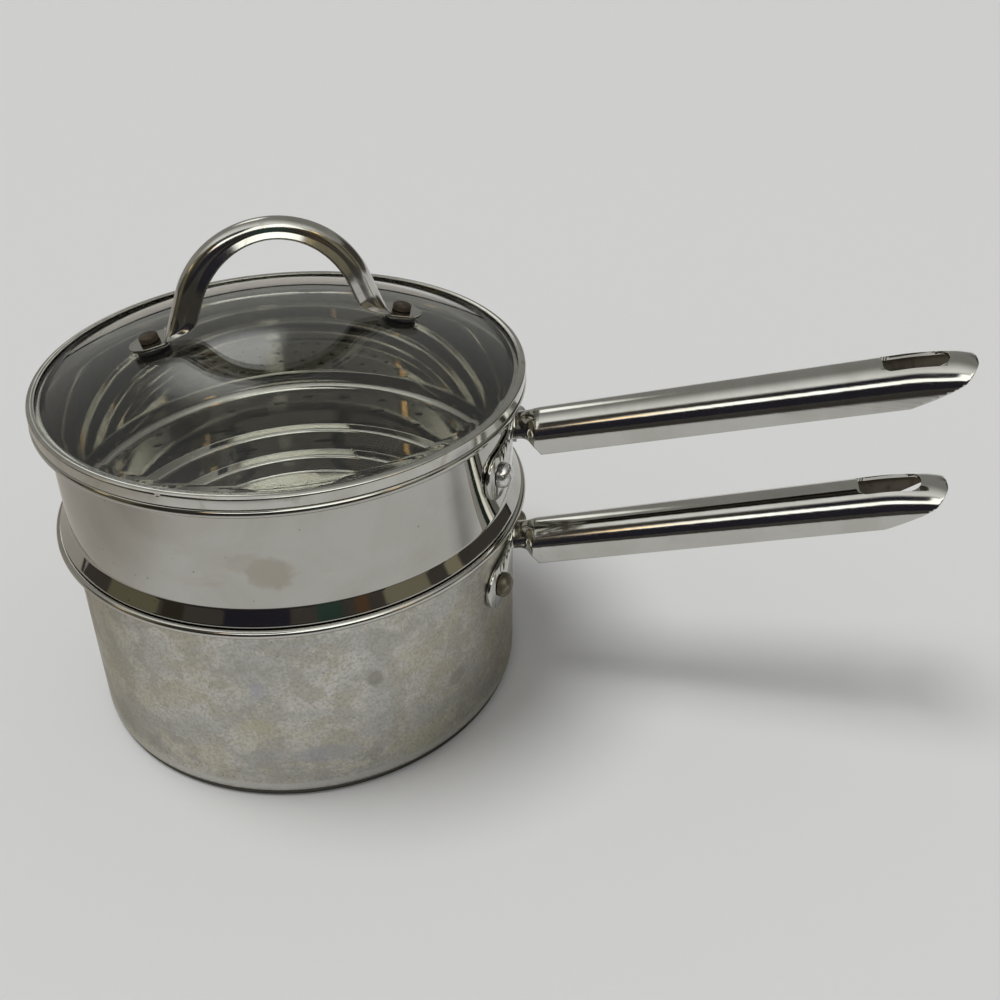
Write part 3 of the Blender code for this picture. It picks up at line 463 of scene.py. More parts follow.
def grip_steel(graph, place):
    """Steel of the long handles: polished, with scratches along their length."""
    slope = bpy.context.scene.grip_sizes.slope
    along = graph.mapped(place, rotation=(0.0, slope, 0.0), scale=(14.0, 1400.0, 1400.0))
    scratches = graph.noise(along, 1.0, 2.0)
    haze = graph.noise(place, 36.0, 4.0, 0.6, 0.8)
    fine = graph.noise(place, 320.0, 3.0, 0.6)
    grime = graph.noise(graph.mapped(place, (0.5, 0.1, 0.3)), 70.0, 5.0, 0.65, 1.2).ramp(0.60, 0.78)
    steel = graph.layers(
        rgb(0.57, 0.565, 0.53),
        (haze.ramp(0.35, 0.7), 0.51, 0.495, 0.455),
        (grime * 0.4, 0.36, 0.32, 0.25),
    )
    rough = 0.075 + haze * 0.04 + scratches.ramp(0.5, 0.9) * 0.08 + grime * 0.10
    return graph.metal(steel, rough, graph.bump(scratches + fine * 0.4, 0.04))


def grip_inside(graph, place):
    """Inner faces of the long handles: rough steel, painted very dark and brownish as the shade inside the
    channel.
    """
    cloud = graph.noise(place, 60.0, 5.0, 0.65, 0.8)
    fine = graph.noise(place, 380.0, 3.0, 0.6)
    stained = cloud.ramp(0.45, 0.72)
    # Painted shade: the inner faces are nearly black because the inside of the channel lies in shade
    steel = graph.layers(rgb(0.10, 0.088, 0.070), (stained, 0.05, 0.043, 0.032))
    rough = 0.36 + stained * 0.14 + fine * 0.06
    return graph.metal(steel, rough, graph.bump(cloud + fine, 0.12), Specular_Tint=rgb(0.45, 0.42, 0.36))


def lid_steel(graph, place):
    """Steel of the band and the lid's handle: polished, dulled in patches by use."""
    lines = graph.noise(ring_lines(graph, place), 1.0, 2.0)
    haze = graph.noise(place, 55.0, 5.0, 0.6, 0.8)
    fine = graph.noise(place, 380.0, 3.0, 0.6)
    dull = graph.noise(graph.mapped(place, (0.2, 0.7, 0.4)), 120.0, 5.0, 0.65, 1.0).ramp(0.54, 0.74)
    steel = graph.layers(
        rgb(0.60, 0.59, 0.55),
        (haze.ramp(0.35, 0.7), 0.50, 0.485, 0.44),
        (dull * 0.45, 0.38, 0.345, 0.27),
    )
    rough = 0.09 + haze * 0.05 + dull * 0.12 + fine * 0.03
    return graph.metal(steel, rough, graph.bump(lines * 0.5 + fine * 0.5, 0.05))


def rivet_metal(graph, place, bright, dark, tarnish, rough):
    """Metal of the rivets, from bright to darkly tarnished."""
    cloud = graph.noise(place, 260.0, 5.0, 0.65, 0.8)
    pits = graph.specks(place, 700.0, 0.25)
    amount = (cloud.ramp(0.5 - tarnish * 0.4, 0.8 - tarnish * 0.3) + pits * 0.25).least(1.0)
    metal = graph.mix(amount, rgb(*bright), rgb(*dark))
    normal = graph.bump(cloud + pits * 0.5, 0.35)
    return graph.metal(metal, rough + amount * 0.2, normal, Metallic=1.0 - amount * 0.35)


def disc_aluminium(graph, place):
    """Plain rolled metal of the disc that nobody sees."""
    lines = graph.noise(ring_lines(graph, place), 1.0, 2.0)
    metal = graph.layers(rgb(0.74, 0.74, 0.74), (graph.noise(place, 60.0, 4.0), 0.64, 0.64, 0.65))
    return graph.metal(metal, 0.34 + lines * 0.12, graph.bump(lines, 0.1))


def lid_glass(graph, place):
    """Glass of the lid: faintly green, finely scratched, lets the lamps' light through."""
    x, y, _ = graph.split(place)
    radius = radius_of(x, y)
    turn = y.angle_to(x)
    rays = graph.noise(graph.vector(turn * 70.0, radius * 30.0, 0.0), 1.0, 4.0, 0.6).ramp(0.60, 0.85)
    wipes = graph.noise(place, 26.0, 4.0, 0.6, 1.2).ramp(0.5, 0.8)
    scratched = rays * radius.ramp(0.045, 0.092)
    glass = graph.principled(
        Base_Color=rgb(0.93, 0.94, 0.92),
        Roughness=scratched * 0.10 + wipes * 0.02,
        IOR=1.47,
        Transmission_Weight=1.0,
        Normal=graph.bump(scratched, 0.03),
    )
    clear = graph.add("ShaderNodeBsdfTransparent", inputs={"Color": rgb(0.90, 0.92, 0.90)})
    from_lamp = graph.add("ShaderNodeLightPath", output="Is Shadow Ray")
    return graph.add("ShaderNodeMixShader", inputs={0: from_lamp, 1: glass, 2: clear})


def seal_rubber(graph, place):
    """Matt black rubber with a little dust."""
    dust = graph.noise(place, 180.0, 4.0).ramp(0.5, 0.8)
    rubber = graph.layers(rgb(0.045, 0.045, 0.045), (dust * 0.5, 0.12, 0.115, 0.105))
    normal = graph.bump(graph.noise(place, 900.0, 3.0), 0.2)
    return graph.principled(Base_Color=rubber, Metallic=0.0, Roughness=0.55 + dust * 0.2, Normal=normal)


# Each finish: the material's name, the function that makes it, and that function's values
FINISHES = {
    "satin_steel": ("satin_steel_worn", satin_steel),
    "mirror_steel": ("mirror_steel_worn", mirror_steel),
    "handle_steel": ("handle_steel_worn", grip_steel),
    "handle_inside": ("handle_inside_painted_shade", grip_inside),
    "lid_steel": ("lid_steel_worn", lid_steel),
    "heat_disc_aluminium": ("heat_disc_plain", disc_aluminium),
    "tarnished_rivet": (
        "tarnished_rivet_worn", rivet_metal, (0.34, 0.32, 0.25), (0.13, 0.115, 0.080), 0.7, 0.30
    ),
    "pitted_rivet": ("pitted_rivet_worn", rivet_metal, (0.20, 0.165, 0.12), (0.07, 0.055, 0.04), 0.8, 0.42),
    "bright_rivet": ("bright_rivet_worn", rivet_metal, (0.68, 0.68, 0.67), (0.46, 0.45, 0.43), 0.2, 0.16),
    "clear_glass": ("lid_glass_scratched", lid_glass),
    "seal_rubber": ("seal_rubber_matt", seal_rubber),
}


def painted(name, make, *values):
    """Make a material from a function that returns its surface."""
    material = bpy.data.materials.new(name)
    material.use_nodes = True
    graph = Graph(material.node_tree)
    graph.show(make(graph, graph.place(), *values))
    return material


def finish(name):
    """Return the material of a finish, made the first time that it is asked for."""
    return bpy.data.materials.get(FINISHES[name][0]) or painted(*FINISHES[name])


def piece(name, bm, material, body, node, sharp=40.0):
    """Turn a bmesh into a finished piece that stands for one node of the part."""
    bmesh.ops.remove_doubles(bm, verts=bm.verts, dist=MERGE_DISTANCE)
    bmesh.ops.recalc_face_normals(bm, faces=bm.faces)
    thing = plain_object(name, bm, sharp)
    for finish_name in (material,) if isinstance(material, str) else material:
        thing.data.materials.append(finish(finish_name))
    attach(thing, body)
    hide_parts(node)


def plain_object(name, bm, sharp=40.0):
    mesh = bpy.data.meshes.new(name)
    bm.to_mesh(mesh)
    bm.free()
    mesh.shade_smooth()
    mesh.set_sharp_from_angle(angle=math.radians(sharp))
    thing = bpy.data.objects.new(name, mesh)
    bpy.context.scene.collection.objects.link(thing)
    return thing


def combined(base, tools):
    """Add or cut closed shapes from a base shape; tools are (operation, bmesh) pairs."""
    bmesh.ops.recalc_face_normals(base, faces=base.faces)
    thing = plain_object("base_shape", base)
    helpers = []
    for operation, shape in tools:
        bmesh.ops.recalc_face_normals(shape, faces=shape.faces)
        helper = plain_object("tool_shape", shape)
        helpers.append(helper)
        modifier = thing.modifiers.new("tool", "BOOLEAN")
        modifier.object = helper
        modifier.operation = operation
        modifier.solver = "EXACT"
    graph = bpy.context.evaluated_depsgraph_get()
    shaped = thing.evaluated_get(graph).to_mesh()
    result = bmesh.new()
    result.from_mesh(shaped)
    for old in [thing, *helpers]:
        bpy.data.objects.remove(old, do_unlink=True)
    if not result.faces:
        raise RuntimeError("A combined shape came out empty")
    return result


def soften(bm, angle, width):
    """Round the sharp edges of a shape."""
    bmesh.ops.remove_doubles(bm, verts=bm.verts, dist=2 * MERGE_DISTANCE)
    bmesh.ops.dissolve_degenerate(bm, edges=bm.edges, dist=2 * MERGE_DISTANCE)
    edges = []
    for edge in bm.edges:
        if len(edge.link_faces) == 2 and edge.calc_face_angle() > angle:
            edges.append(edge)
    bmesh.ops.bevel(
        bm,
        geom=edges,
        offset=width,
        offset_type="OFFSET",
        affect="EDGES",
        segments=2,
        profile=0.5,
        material=-1,
        clamp_overlap=True,
    )


def turned(profile, segments, place=None):
    """Spin a closed outline of (radius, height) points into a round solid."""
    bm = bmesh.new()
    ring = [bm.verts.new((radius, 0.0, height)) for radius, height in profile]
    for index, vert in enumerate(ring):
        bm.edges.new((vert, ring[(index + 1) % len(ring)]))
    bmesh.ops.spin(
        bm,
        geom=bm.verts[:] + bm.edges[:],
        cent=(0.0, 0.0, 0.0),
        axis=(0.0, 0.0, 1.0),
        dvec=(0.0, 0.0, 0.0),
        angle=2 * math.pi,
        steps=segments,
        use_merge=True,
    )
    bmesh.ops.remove_doubles(bm, verts=bm.verts, dist=MERGE_DISTANCE)
    flat = [face for face in bm.faces if face.calc_area() < FLAT_AREA]
    bmesh.ops.delete(bm, geom=flat, context="FACES_ONLY")
    loose = [edge for edge in bm.edges if not edge.link_faces]
    bmesh.ops.delete(bm, geom=loose, context="EDGES")
    if place is not None:
        bmesh.ops.transform(bm, matrix=place, verts=bm.verts)
    return bm


def rod(diameter, reach, segments, place):
    """Return a plain cylinder, centred on its place."""
    bm = bmesh.new()
    bmesh.ops.create_cone(
        bm,
        cap_ends=True,
        segments=segments,
        radius1=diameter / 2,
        radius2=diameter / 2,
        depth=reach,
        matrix=place,
    )
    return bm


def joined(shapes):
    """Collect several separate closed shapes in one bmesh."""
    bm = bmesh.new()
    for shape in shapes:
        mesh = bpy.data.meshes.new("collected")
        shape.to_mesh(mesh)
        shape.free()
        bm.from_mesh(mesh)
        bpy.data.meshes.remove(mesh)
    return bm


def arc(centre, radius, start, end, steps):
    """Return points along an arc, angles in degrees, both ends included."""
    points = []
    for step in range(steps + 1):
        angle = math.radians(start + (end - start) * step / steps)
        points.append((centre[0] + radius * math.cos(angle), centre[1] + radius * math.sin(angle)))
    return points


def curve(one, pull_one, pull_two, two, steps):
    """Return points along a smooth curve between two points, first one left out."""
    points = []
    for step in range(1, steps + 1):
        part = step / steps
        rest = 1 - part
        weights = (rest ** 3, 3 * rest ** 2 * part, 3 * rest * part ** 2, part ** 3)
        pairs = list(zip(weights, (one, pull_one, pull_two, two)))
        points.append(tuple(sum(weight * corner[axis] for weight, corner in pairs) for axis in range(2)))
    return points


def shifted(path, distance):
    """Shift a line that ends on the axis to its left, by an even distance."""
    moved = []
    for index, point in enumerate(path):
        before = Vector(path[max(index - 1, 0)])
        here = Vector(point)
        after = Vector(path[min(index + 1, len(path) - 1)])
        normals = []
        for one, two in ((before, here), (here, after)):
            run = two - one
            if run.length > 0:
                normals.append(Vector((-run.y, run.x)).normalized())
        mean = sum(normals, Vector((0.0, 0.0))).normalized()
        stretch = 1 / max(mean.dot(normals[0]), 0.5)
        new = here + mean * distance * stretch
        if here.x == 0:
            new = here + normals[0] * distance
            new.x = 0.0
        moved.append((new.x, new.y))
    return moved


def mirrored(half):
    """Return a half outline that ends in its middle, with its mirror image behind it."""
    return half + [(-across, up) for across, up in half[-2::-1]]


def strip_outline(outer, sheet):
    """Thicken an open line to its left into a strip's outline with round edges."""
    ends = []
    for end, inward in ((outer[0], outer[1]), (outer[-1], outer[-2])):
        run = Vector(inward) - Vector(end)
        depth = min(0.9 * abs(sheet) / 2, 0.6 * run.length)
        ends.append((run.normalized(), depth))
    pulled = [tuple(Vector(point)) for point in outer]
    pulled[0] = tuple(Vector(outer[0]) + ends[0][0] * ends[0][1])
    pulled[-1] = tuple(Vector(outer[-1]) + ends[1][0] * ends[1][1])
    inner = shifted(pulled, sheet)
    caps = []
    for here, there, (run, depth) in ((pulled[-1], inner[-1], ends[1]), (inner[0], pulled[0], ends[0])):
        middle = (Vector(here) + Vector(there)) / 2
        half = Vector(here) - middle
        cap = []
        for step in range(1, CAP_STEPS):
            turn = math.pi * step / CAP_STEPS
            cap.append(tuple(middle + half * math.cos(turn) - run * depth * math.sin(turn)))
        caps.append(cap)
    return pulled + caps[0] + inner[::-1] + caps[1]


def vessel_profile(vessel, outer, sheet, rim_height):
    """Close the outline of a drawn vessel: outer line, inner line and rolled rim."""
    inner = shifted(outer, -sheet)
    bead = arc((vessel.rim_radius, rim_height), vessel.rim_bead, -140, 170, 26)
    return bead[::-1] + outer + inner[::-1]


def flared_mouth(vessel, rim_height):
    """Return the wall's outer line from just under the rolled rim to the straight wall."""
    bead = arc((vessel.rim_radius, rim_height), vessel.rim_bead, -140, -140, 1)[0]
    foot = (vessel.wall_radius, rim_height - vessel.flare)
    drop = bead[1] - foot[1]
    top_pull = (bead[0] - 0.75 * (bead[0] - foot[0]), bead[1] - 0.25 * drop)
    foot_pull = (foot[0], foot[1] + 0.35 * drop)
    return curve(bead, top_pull, foot_pull, foot, 10)


def wall_axis(angle, height, radius):
    """Place local +Z along the outward radius of the wall at an angle and a height."""
    turn = Matrix.Rotation(angle, 4, "Z")
    lean = Matrix.Rotation(math.pi / 2, 4, "Y")
    return turn @ Matrix.Translation((radius, 0.0, height)) @ lean


def heights(scene):
    """Return the heights that follow from the sizes, by name."""
    vessel, pan, steamer, lid = scene.vessel_sizes, scene.pan_sizes, scene.steamer_sizes, scene.lid_sizes
    gap = vessel.seat_gap
    disc_base = pan.cap_sheet + gap
    disc_top = disc_base + pan.disc
    seat = pan.rim_height + vessel.rim_bead + gap
    steamer_rim = seat + steamer.rim_rise
    band = steamer_rim + vessel.rim_bead + gap
    return {
        "disc_top": disc_top,
        "pan_underside": disc_top + gap,
        "seat": seat,
        "steamer_rim": steamer_rim,
        "band": band,
        "glass_edge": band + lid.sheet + gap + lid.glass,
    }


def build_pan(scene):
    """Build the pan's shell and the cup of its heat spreading base."""
    vessel, pan = scene.vessel_sizes, scene.pan_sizes
    level = heights(scene)
    corner = (vessel.wall_radius - pan.corner, level["pan_underside"] + pan.corner)
    outer = flared_mouth(vessel, pan.rim_height)
    outer += arc(corner, pan.corner, 0, -90, 8)
    outer += [(MIDDLE_RING, level["pan_underside"]), (0.0, level["pan_underside"])]
    profile = vessel_profile(vessel, outer, pan.sheet, pan.rim_height)
    shell = turned(profile, vessel.segments)
    piece("pan_drawn_shell", shell, "satin_steel", "saucepan", "saucepan_shell")

    top = level["disc_top"]
    inside = pan.cap_radius - pan.cap_sheet
    lip = arc((pan.cap_radius - pan.cap_sheet / 2, top - pan.cap_sheet / 2), pan.cap_sheet / 2, 180, 0, 6)
    foot = arc((pan.cap_radius - pan.cap_corner, pan.cap_corner), pan.cap_corner, 0, -90, 6)
    cup = lip + foot + [(0.0, 0.0), (0.0, pan.cap_sheet), (inside, pan.cap_sheet)]
    # The whole cup lies below 3 mm, so its steel shows the painted shade and is nearly black
    base = turned(cup, vessel.segments)
    piece("pan_base_cup", base, "satin_steel", "saucepan", "saucepan_base_cap")


def steamer_outer_line(scene):
    """Return the outside of the steamer from under its rim down to the axis."""
    vessel, steamer = scene.vessel_sizes, scene.steamer_sizes
    level = heights(scene)
    seat = level["seat"]
    line = flared_mouth(vessel, level["steamer_rim"])
    edge = Vector((steamer.seat_radius, seat + steamer.seat_corner))
    wall = Vector((vessel.wall_radius, edge.y + steamer.skirt))
    down = (edge - wall).normalized()
    # Points close to both bends keep them crisp
    near_wall, off_wall = 0.3, 0.8
    near_edge, off_edge = 0.2, 0.7
    line += [(wall.x, wall.y + off_wall * MM), (wall.x, wall.y + near_wall * MM)]
    line += [tuple(wall + down * near_wall * MM), tuple(wall + down * off_wall * MM)]
    line += [tuple(edge - down * off_edge * MM), tuple(edge - down * near_edge * MM)]
    corner = (steamer.seat_radius - steamer.seat_corner, seat + steamer.seat_corner)
    line += arc(corner, steamer.seat_corner, 0, -90, 6)[1:]
    ledge = seat
    steps = (
        (steamer.radius_one, steamer.depth_one, steamer.first_fillet, steamer.fillet),
        (steamer.radius_two, steamer.depth_two, steamer.fillet, steamer.fillet),
        (steamer.radius_three, steamer.depth_three, steamer.fillet, steamer.floor_corner),
    )
    for radius, depth, fillet, corner in steps:
        line += arc((radius + fillet, ledge - fillet), fillet, 90, 180, 10)
        ledge -= depth
        line += arc((radius - corner, ledge + corner), corner, 0, -90, 8)
    line += [(HOLED_RING, ledge), (0.0, ledge)]
    return line


def steam_holes(scene):
    """Return the rings of steam holes as one cutting shape."""
    steamer = scene.steamer_sizes
    floor = heights(scene)["seat"] - steamer.depth_one - steamer.depth_two - steamer.depth_three
    holes = []
    for ring in range(steamer.rings):
        radius = steamer.first_ring + ring * steamer.ring_pitch
        number = round(2 * math.pi * radius / steamer.hole_pitch)
        for index in range(number):
            angle = 2 * math.pi * index / number
            place = Matrix.Translation((radius * math.cos(angle), radius * math.sin(angle), floor))
            holes.append(rod(steamer.hole, 6 * steamer.sheet, 28, place))
    return joined(holes)


def build_steamer(scene):
    """Build the stepped shell with its holed floor."""
    vessel, steamer = scene.vessel_sizes, scene.steamer_sizes
    rim = heights(scene)["steamer_rim"]
    profile = vessel_profile(vessel, steamer_outer_line(scene), steamer.sheet, rim)
    shell = combined(turned(profile, vessel.segments), [("DIFFERENCE", steam_holes(scene))])
    piece("steamer_stepped_shell", shell, "mirror_steel", "steamer", "steamer_shell")


def smooth_step(value):
    value = min(max(value, 0.0), 1.0)
    return value * value * (3 - 2 * value)


def grip_station(grip, along):
    """Return width, lower edge, pinch and crown of a long handle at a distance from the wall."""
    part = along / grip.length
    width = grip.root_width + (grip.tip_width - grip.root_width) * part
    side = grip.root_side + (grip.tip_side - grip.root_side) * part
    shoulder = (along - grip.shoulder_start) / (grip.shoulder_end - grip.shoulder_start)
    pinch = 1 - grip.neck_pinch * (1 - smooth_step(shoulder))
    into_flare = 1 - (along - grip.sheet) / grip.neck_flare
    if into_flare > 0:
        width += 2 * grip.neck_flare * (1 - math.sqrt(max(1 - into_flare ** 2, 0.0)))
    into_cut = min(max(along - grip.neck, 0.0) / grip.side_cut, 1.0)
    edge = grip.neck_rise - (grip.neck_rise + side) * into_cut ** 1.9
    into_spoon = (along - grip.length + grip.spoon) / grip.spoon
    into_nose = min(max((along - grip.length + grip.nose) / grip.nose, 0.0), 1.0)
    crown = 1 - grip.spoon_drop / (width / 2) * smooth_step(into_spoon) - grip.droop * into_nose ** 2
    return width, edge, pinch, crown


def grip_section(grip, width, edge, pinch, crown):
    """Return the closed outline of the round-topped channel as (across, up) points."""
    radius = width / 2
    low = math.asin(max(edge, 0.0) / radius)
    wall = max(-edge, 0.0)
    reach = wall + radius * (math.pi / 2 - low)
    first = 0.8 * MM
    steps = 24
    stops = [0.0] + [first + (reach - first) * step / steps for step in range(steps + 1)]
    half = []
    for stop in stops:
        if stop < wall:
            half.append((-radius, edge + stop))
        else:
            turn = low + (stop - wall) / radius
            half.append((-radius * math.cos(turn), radius * math.sin(turn)))
    outline = strip_outline(mirrored(half), -grip.sheet)
    return [(across * pinch, up * crown if up > 0 else up) for across, up in outline]


def grip_point(scene, root_height, along, across, up):
    """Map a channel point to its place: sections stay upright, the run slopes up."""
    slope = scene.grip_sizes.slope
    return (
        scene.vessel_sizes.wall_radius + along * math.cos(slope),
        across,
        root_height + along * math.sin(slope) + up / math.cos(slope),
    )


def loft(sections):
    """Extrude a closed outline from station to station and cap both ends."""
    bm = bmesh.new()
    face = bm.faces.new([bm.verts.new(point) for point in sections[0]])
    for index, section in enumerate(sections[1:]):
        grown = bmesh.ops.extrude_face_region(bm, geom=[face])["geom"]
        if index > 0:
            bmesh.ops.delete(bm, geom=[face], context="FACES_ONLY")
        face = next(item for item in grown if isinstance(item, bmesh.types.BMFace))
        for vert, point in zip(face.verts, section):
            vert.co = point
    return bm


def grip_stations(grip):
    """Return the distances from the wall at which the channel has a section."""
    bend_end, neck_end, tip_start = 3.0 * MM, 16.0 * MM, grip.length - 34.0 * MM
    bend_step, neck_step, tip_step, plain_step = 0.15 * MM, 0.6 * MM, 1.2 * MM, 2.5 * MM
    stations = [grip.sheet * 0.6]
    while stations[-1] < grip.length - 0.1 * MM:
        here = stations[-1]
        step = tip_step if here > tip_start else plain_step
        if here < bend_end:
            step = bend_step
        elif here < neck_end:
            step = neck_step
        stations.append(min(here + step, grip.length))
    return stations


def grip_channel(scene, root_height):
    """Return the long round-topped channel, square at both ends."""
    grip = scene.grip_sizes
    sections = []
    for along in grip_stations(grip):
        outline = grip_section(grip, *grip_station(grip, along))
        sections.append([grip_point(scene, root_height, along, across, up) for across, up in outline])
    return loft(sections)


def prism(points, along):
    """Turn a flat closed outline into a prism."""
    bm = bmesh.new()
    face = bm.faces.new([bm.verts.new(point) for point in points])
    grown = bmesh.ops.extrude_face_region(bm, geom=[face])["geom"]
    fresh = [item for item in grown if isinstance(item, bmesh.types.BMVert)]
    bmesh.ops.translate(bm, vec=along, verts=fresh)
    return bm


def grip_foot(scene, rivet_height):
    """Return the foot: two round ears under an arch, bent round the wall."""
    vessel, grip = scene.vessel_sizes, scene.grip_sizes
    half = grip.rivet_spacing / 2
    width, _, pinch, _ = grip_station(grip, 2 * grip.neck_flare + grip.sheet)
    neck = width / 2
    ear = arc((-half, 0.0), grip.ear, -60, -250, 32)
    top = arc((0.0, grip.rivet_drop), neck + grip.margin, 140, 90, 12)
    mouth = arc((0.0, grip.rivet_drop), pinch * neck - grip.sheet, 170, 90, 16)
    outline = mirrored(ear + top)
    outline += [(-across, up) for across, up in mouth] + mouth[-2::-1]
    bm = prism([(0.0, across, up) for across, up in outline], (grip.sheet, 0.0, 0.0))
    # Upright cuts a millimetre apart let the flat foot bend round the wall
    offset = 0.37 * MM
    lines = int((half + grip.ear) / MM)
    for line in range(-lines, lines + 1):
        bmesh.ops.bisect_plane(
            bm,
            geom=bm.verts[:] + bm.edges[:] + bm.faces[:],
            plane_co=(0.0, line * MM + offset, 0.0),
            plane_no=(0.0, 1.0, 0.0),
            dist=0.001 * MM,
        )
    bmesh.ops.triangulate(bm, faces=bm.faces)
    for vert in bm.verts:
        depth, across, up = vert.co
        radius = vessel.wall_radius + vessel.seat_gap + depth
        angle = math.asin(across / vessel.wall_radius)
        vert.co = (radius * math.cos(angle), radius * math.sin(angle), rivet_height + up)
    return bm


def tip_shape(scene, root_height):
    """Return the block that rounds off the free end: long on top, short below."""
    grip = scene.grip_sizes
    width, edge, _, _ = grip_station(grip, grip.length)
    crown = width / 2 - grip.spoon_drop
    spare = 4.0 * MM
    beyond = grip.length + spare
    outline = []
    steps = 24
    for step in range(steps + 1):
        part = step / steps
        back = grip.tip_cut * (1 - part) ** 2
        outline.append((grip.length - grip.tip_trim - back, edge + (crown - edge) * part))
    behind = outline[0][0] - spare
    outline += [(outline[-1][0], crown + spare), (beyond, crown + spare)]
    outline += [(beyond, edge - 2 * spare), (behind, edge - 2 * spare), (behind, edge - spare)]
    points = [grip_point(scene, root_height, along, -width, up) for along, up in outline]
    return prism(points, (0.0, 2 * width, 0.0))


def nose_shape(scene, root_height):
    """Return the block that rounds off the free end as seen from above."""
    grip = scene.grip_sizes
    overhang = 1.1 * MM
    half = grip.tip_width / 2 + overhang
    end = grip.length - grip.tip_trim
    outline = []
    for step in range(37):
        turn = math.radians(5 * step - 90)
        outline.append((end - grip.nose * (1 - math.cos(turn)), half * math.sin(turn)))
    outline += [(end + 2 * grip.nose, half), (end + 2 * grip.nose, -half)]
    points = [grip_point(scene, root_height, along, across, -half) for along, across in outline]
    return prism(points, (0.0, 0.0, 3 * grip.tip_width))


def slot_shape(scene, root_height):
    """Return the hanging slot: squarish at the pan side, rounder at the free end."""
    grip = scene.grip_sizes
    far = grip.length - grip.slot_margin
    near = far - grip.slot_length
    half = grip.slot_width / 2
    outer, inner = grip.slot_outer, grip.slot_inner
    corners = (
        (far - outer, half - outer, outer),
        (near + inner, half - inner, inner),
        (near + inner, inner - half, inner),
        (far - outer, outer - half, outer),
    )
    outline = []
    for quarter, (along, across, radius) in enumerate(corners):
        outline += arc((along, across), radius, 90 * quarter, 90 * quarter + 90, 10)
    points = [grip_point(scene, root_height, along, across, 0.0) for along, across in outline]
    return prism(points, (0.0, 0.0, grip.tip_width))


def mark_inside(scene, bm, root_height):
    """Give the channel's inner faces, which are never polished and lie in shade, the second material:
    rough, with painted shade in its dark colour.
    """
    grip = scene.grip_sizes
    start = scene.vessel_sizes.wall_radius + grip.shoulder_end * math.cos(grip.slope)
    bm.normal_update()
    for face in bm.faces:
        x, across, z = face.calc_center_median()
        if x < start:
            continue
        along = (x - scene.vessel_sizes.wall_radius) / math.cos(grip.slope)
        up = max((z - root_height - along * math.sin(grip.slope)) * math.cos(grip.slope), 0.0)
        width, _, _, crown = grip_station(grip, along)
        radius = math.hypot(across, up / crown)
        facing = face.normal.y * across + face.normal.z * up
        if radius < width / 2 - grip.sheet * 0.6 and facing < -0.5 * math.hypot(across, up):
            face.material_index = 1


def dome(head, base, height, side, power, steps):
    """Return a rivet head's outline from its middle to its lower edge."""
    points = []
    for step in range(steps + 1):
        angle = math.pi / 2 * step / steps
        radius = head / 2 * math.sin(angle) ** power
        up = base + height * side + height * (1 - side) * max(math.cos(angle), 0.0) ** power
        points.append((radius, up))
    return points + [(head / 2, base)]


def build_grip(scene, body, rim_height, drop, sheet, rivet_finish):
    """Build one long handle with its two rivets."""
    vessel, grip = scene.vessel_sizes, scene.grip_sizes
    root = rim_height - drop
    rivet_height = root - grip.rivet_drop
    angle = math.asin(grip.rivet_spacing / 2 / vessel.wall_radius)
    channel = combined(
        grip_channel(scene, root),
        [("DIFFERENCE", cutter(scene, root)) for cutter in (tip_shape, nose_shape, slot_shape)],
    )
    handle = combined(grip_foot(scene, rivet_height), [("UNION", channel)])
    soften(handle, math.radians(50), grip.edge)
    mark_inside(scene, handle, root)
    finishes = ("handle_steel", "handle_inside")
    piece(body + "_long_grip", handle, finishes, body, body + "_handle", sharp=60.0)

    head_seat = vessel.wall_radius + 2 * vessel.seat_gap + grip.sheet
    tail_seat = vessel.wall_radius - sheet - (grip.tail / 2) ** 2 / (2 * vessel.wall_radius)
    profile = dome(grip.head, head_seat, grip.head_height, 0.2, 0.9, 14)
    tail_end = tail_seat - grip.tail_height
    profile += [(grip.shank / 2, head_seat), (grip.shank / 2, tail_seat), (grip.tail / 2, tail_seat)]
    profile += [(grip.tail / 2, tail_seat - grip.tail_height * 0.6)]
    profile += [(grip.tail * 0.4, tail_end), (0.0, tail_end)]
    for name, side in (("near", -1), ("far", 1)):
        rivet = turned(profile, RIVET_SEGMENTS, wall_axis(side * angle, rivet_height, 0.0))
        node = body + "_rivet_" + name
        piece(body + "_grip_rivet_" + name, rivet, rivet_finish, body, node)


def glass_rim(scene):
    """Return the outside radius of the glass and the radius at which its flat edge starts."""
    lid = scene.lid_sizes
    outside = lid.radius - lid.sheet - scene.vessel_sizes.seat_gap
    return outside, outside - lid.glass_flat


def glass_top(scene, radius):
    """Return the height of the top of the glass at a distance from the axis."""
    sphere = scene.lid_sizes.dome_radius
    _, start = glass_rim(scene)
    edge = heights(scene)["glass_edge"]
    if radius >= start:
        return edge
    return edge + math.sqrt(sphere ** 2 - radius ** 2) - math.sqrt(sphere ** 2 - start ** 2)


def build_glass(scene):
    """Build the domed glass."""
    lid = scene.lid_sizes
    outside, start = glass_rim(scene)
    edge = heights(scene)["glass_edge"]
    steps = 40
    flat_steps = 4
    round_edge = 0.6 * MM
    dome_stops = [start * step / steps for step in range(steps + 1)]
    top = [(radius, glass_top(scene, radius)) for radius in dome_stops]
    for step in range(1, flat_steps + 1):
        radius = start + (outside - round_edge - start) * step / flat_steps
        top.append((radius, edge))
    bottom = [(radius, height - lid.glass) for radius, height in reversed(top)]
    middle = edge - lid.glass / 2
    side = arc((outside - lid.glass / 2, middle), lid.glass / 2, 60, -60, 8)
    glass = turned(top + side + bottom, scene.vessel_sizes.segments)
    piece("lid_glass_dome", glass, "clear_glass", "lid", "lid_glass", sharp=60.0)


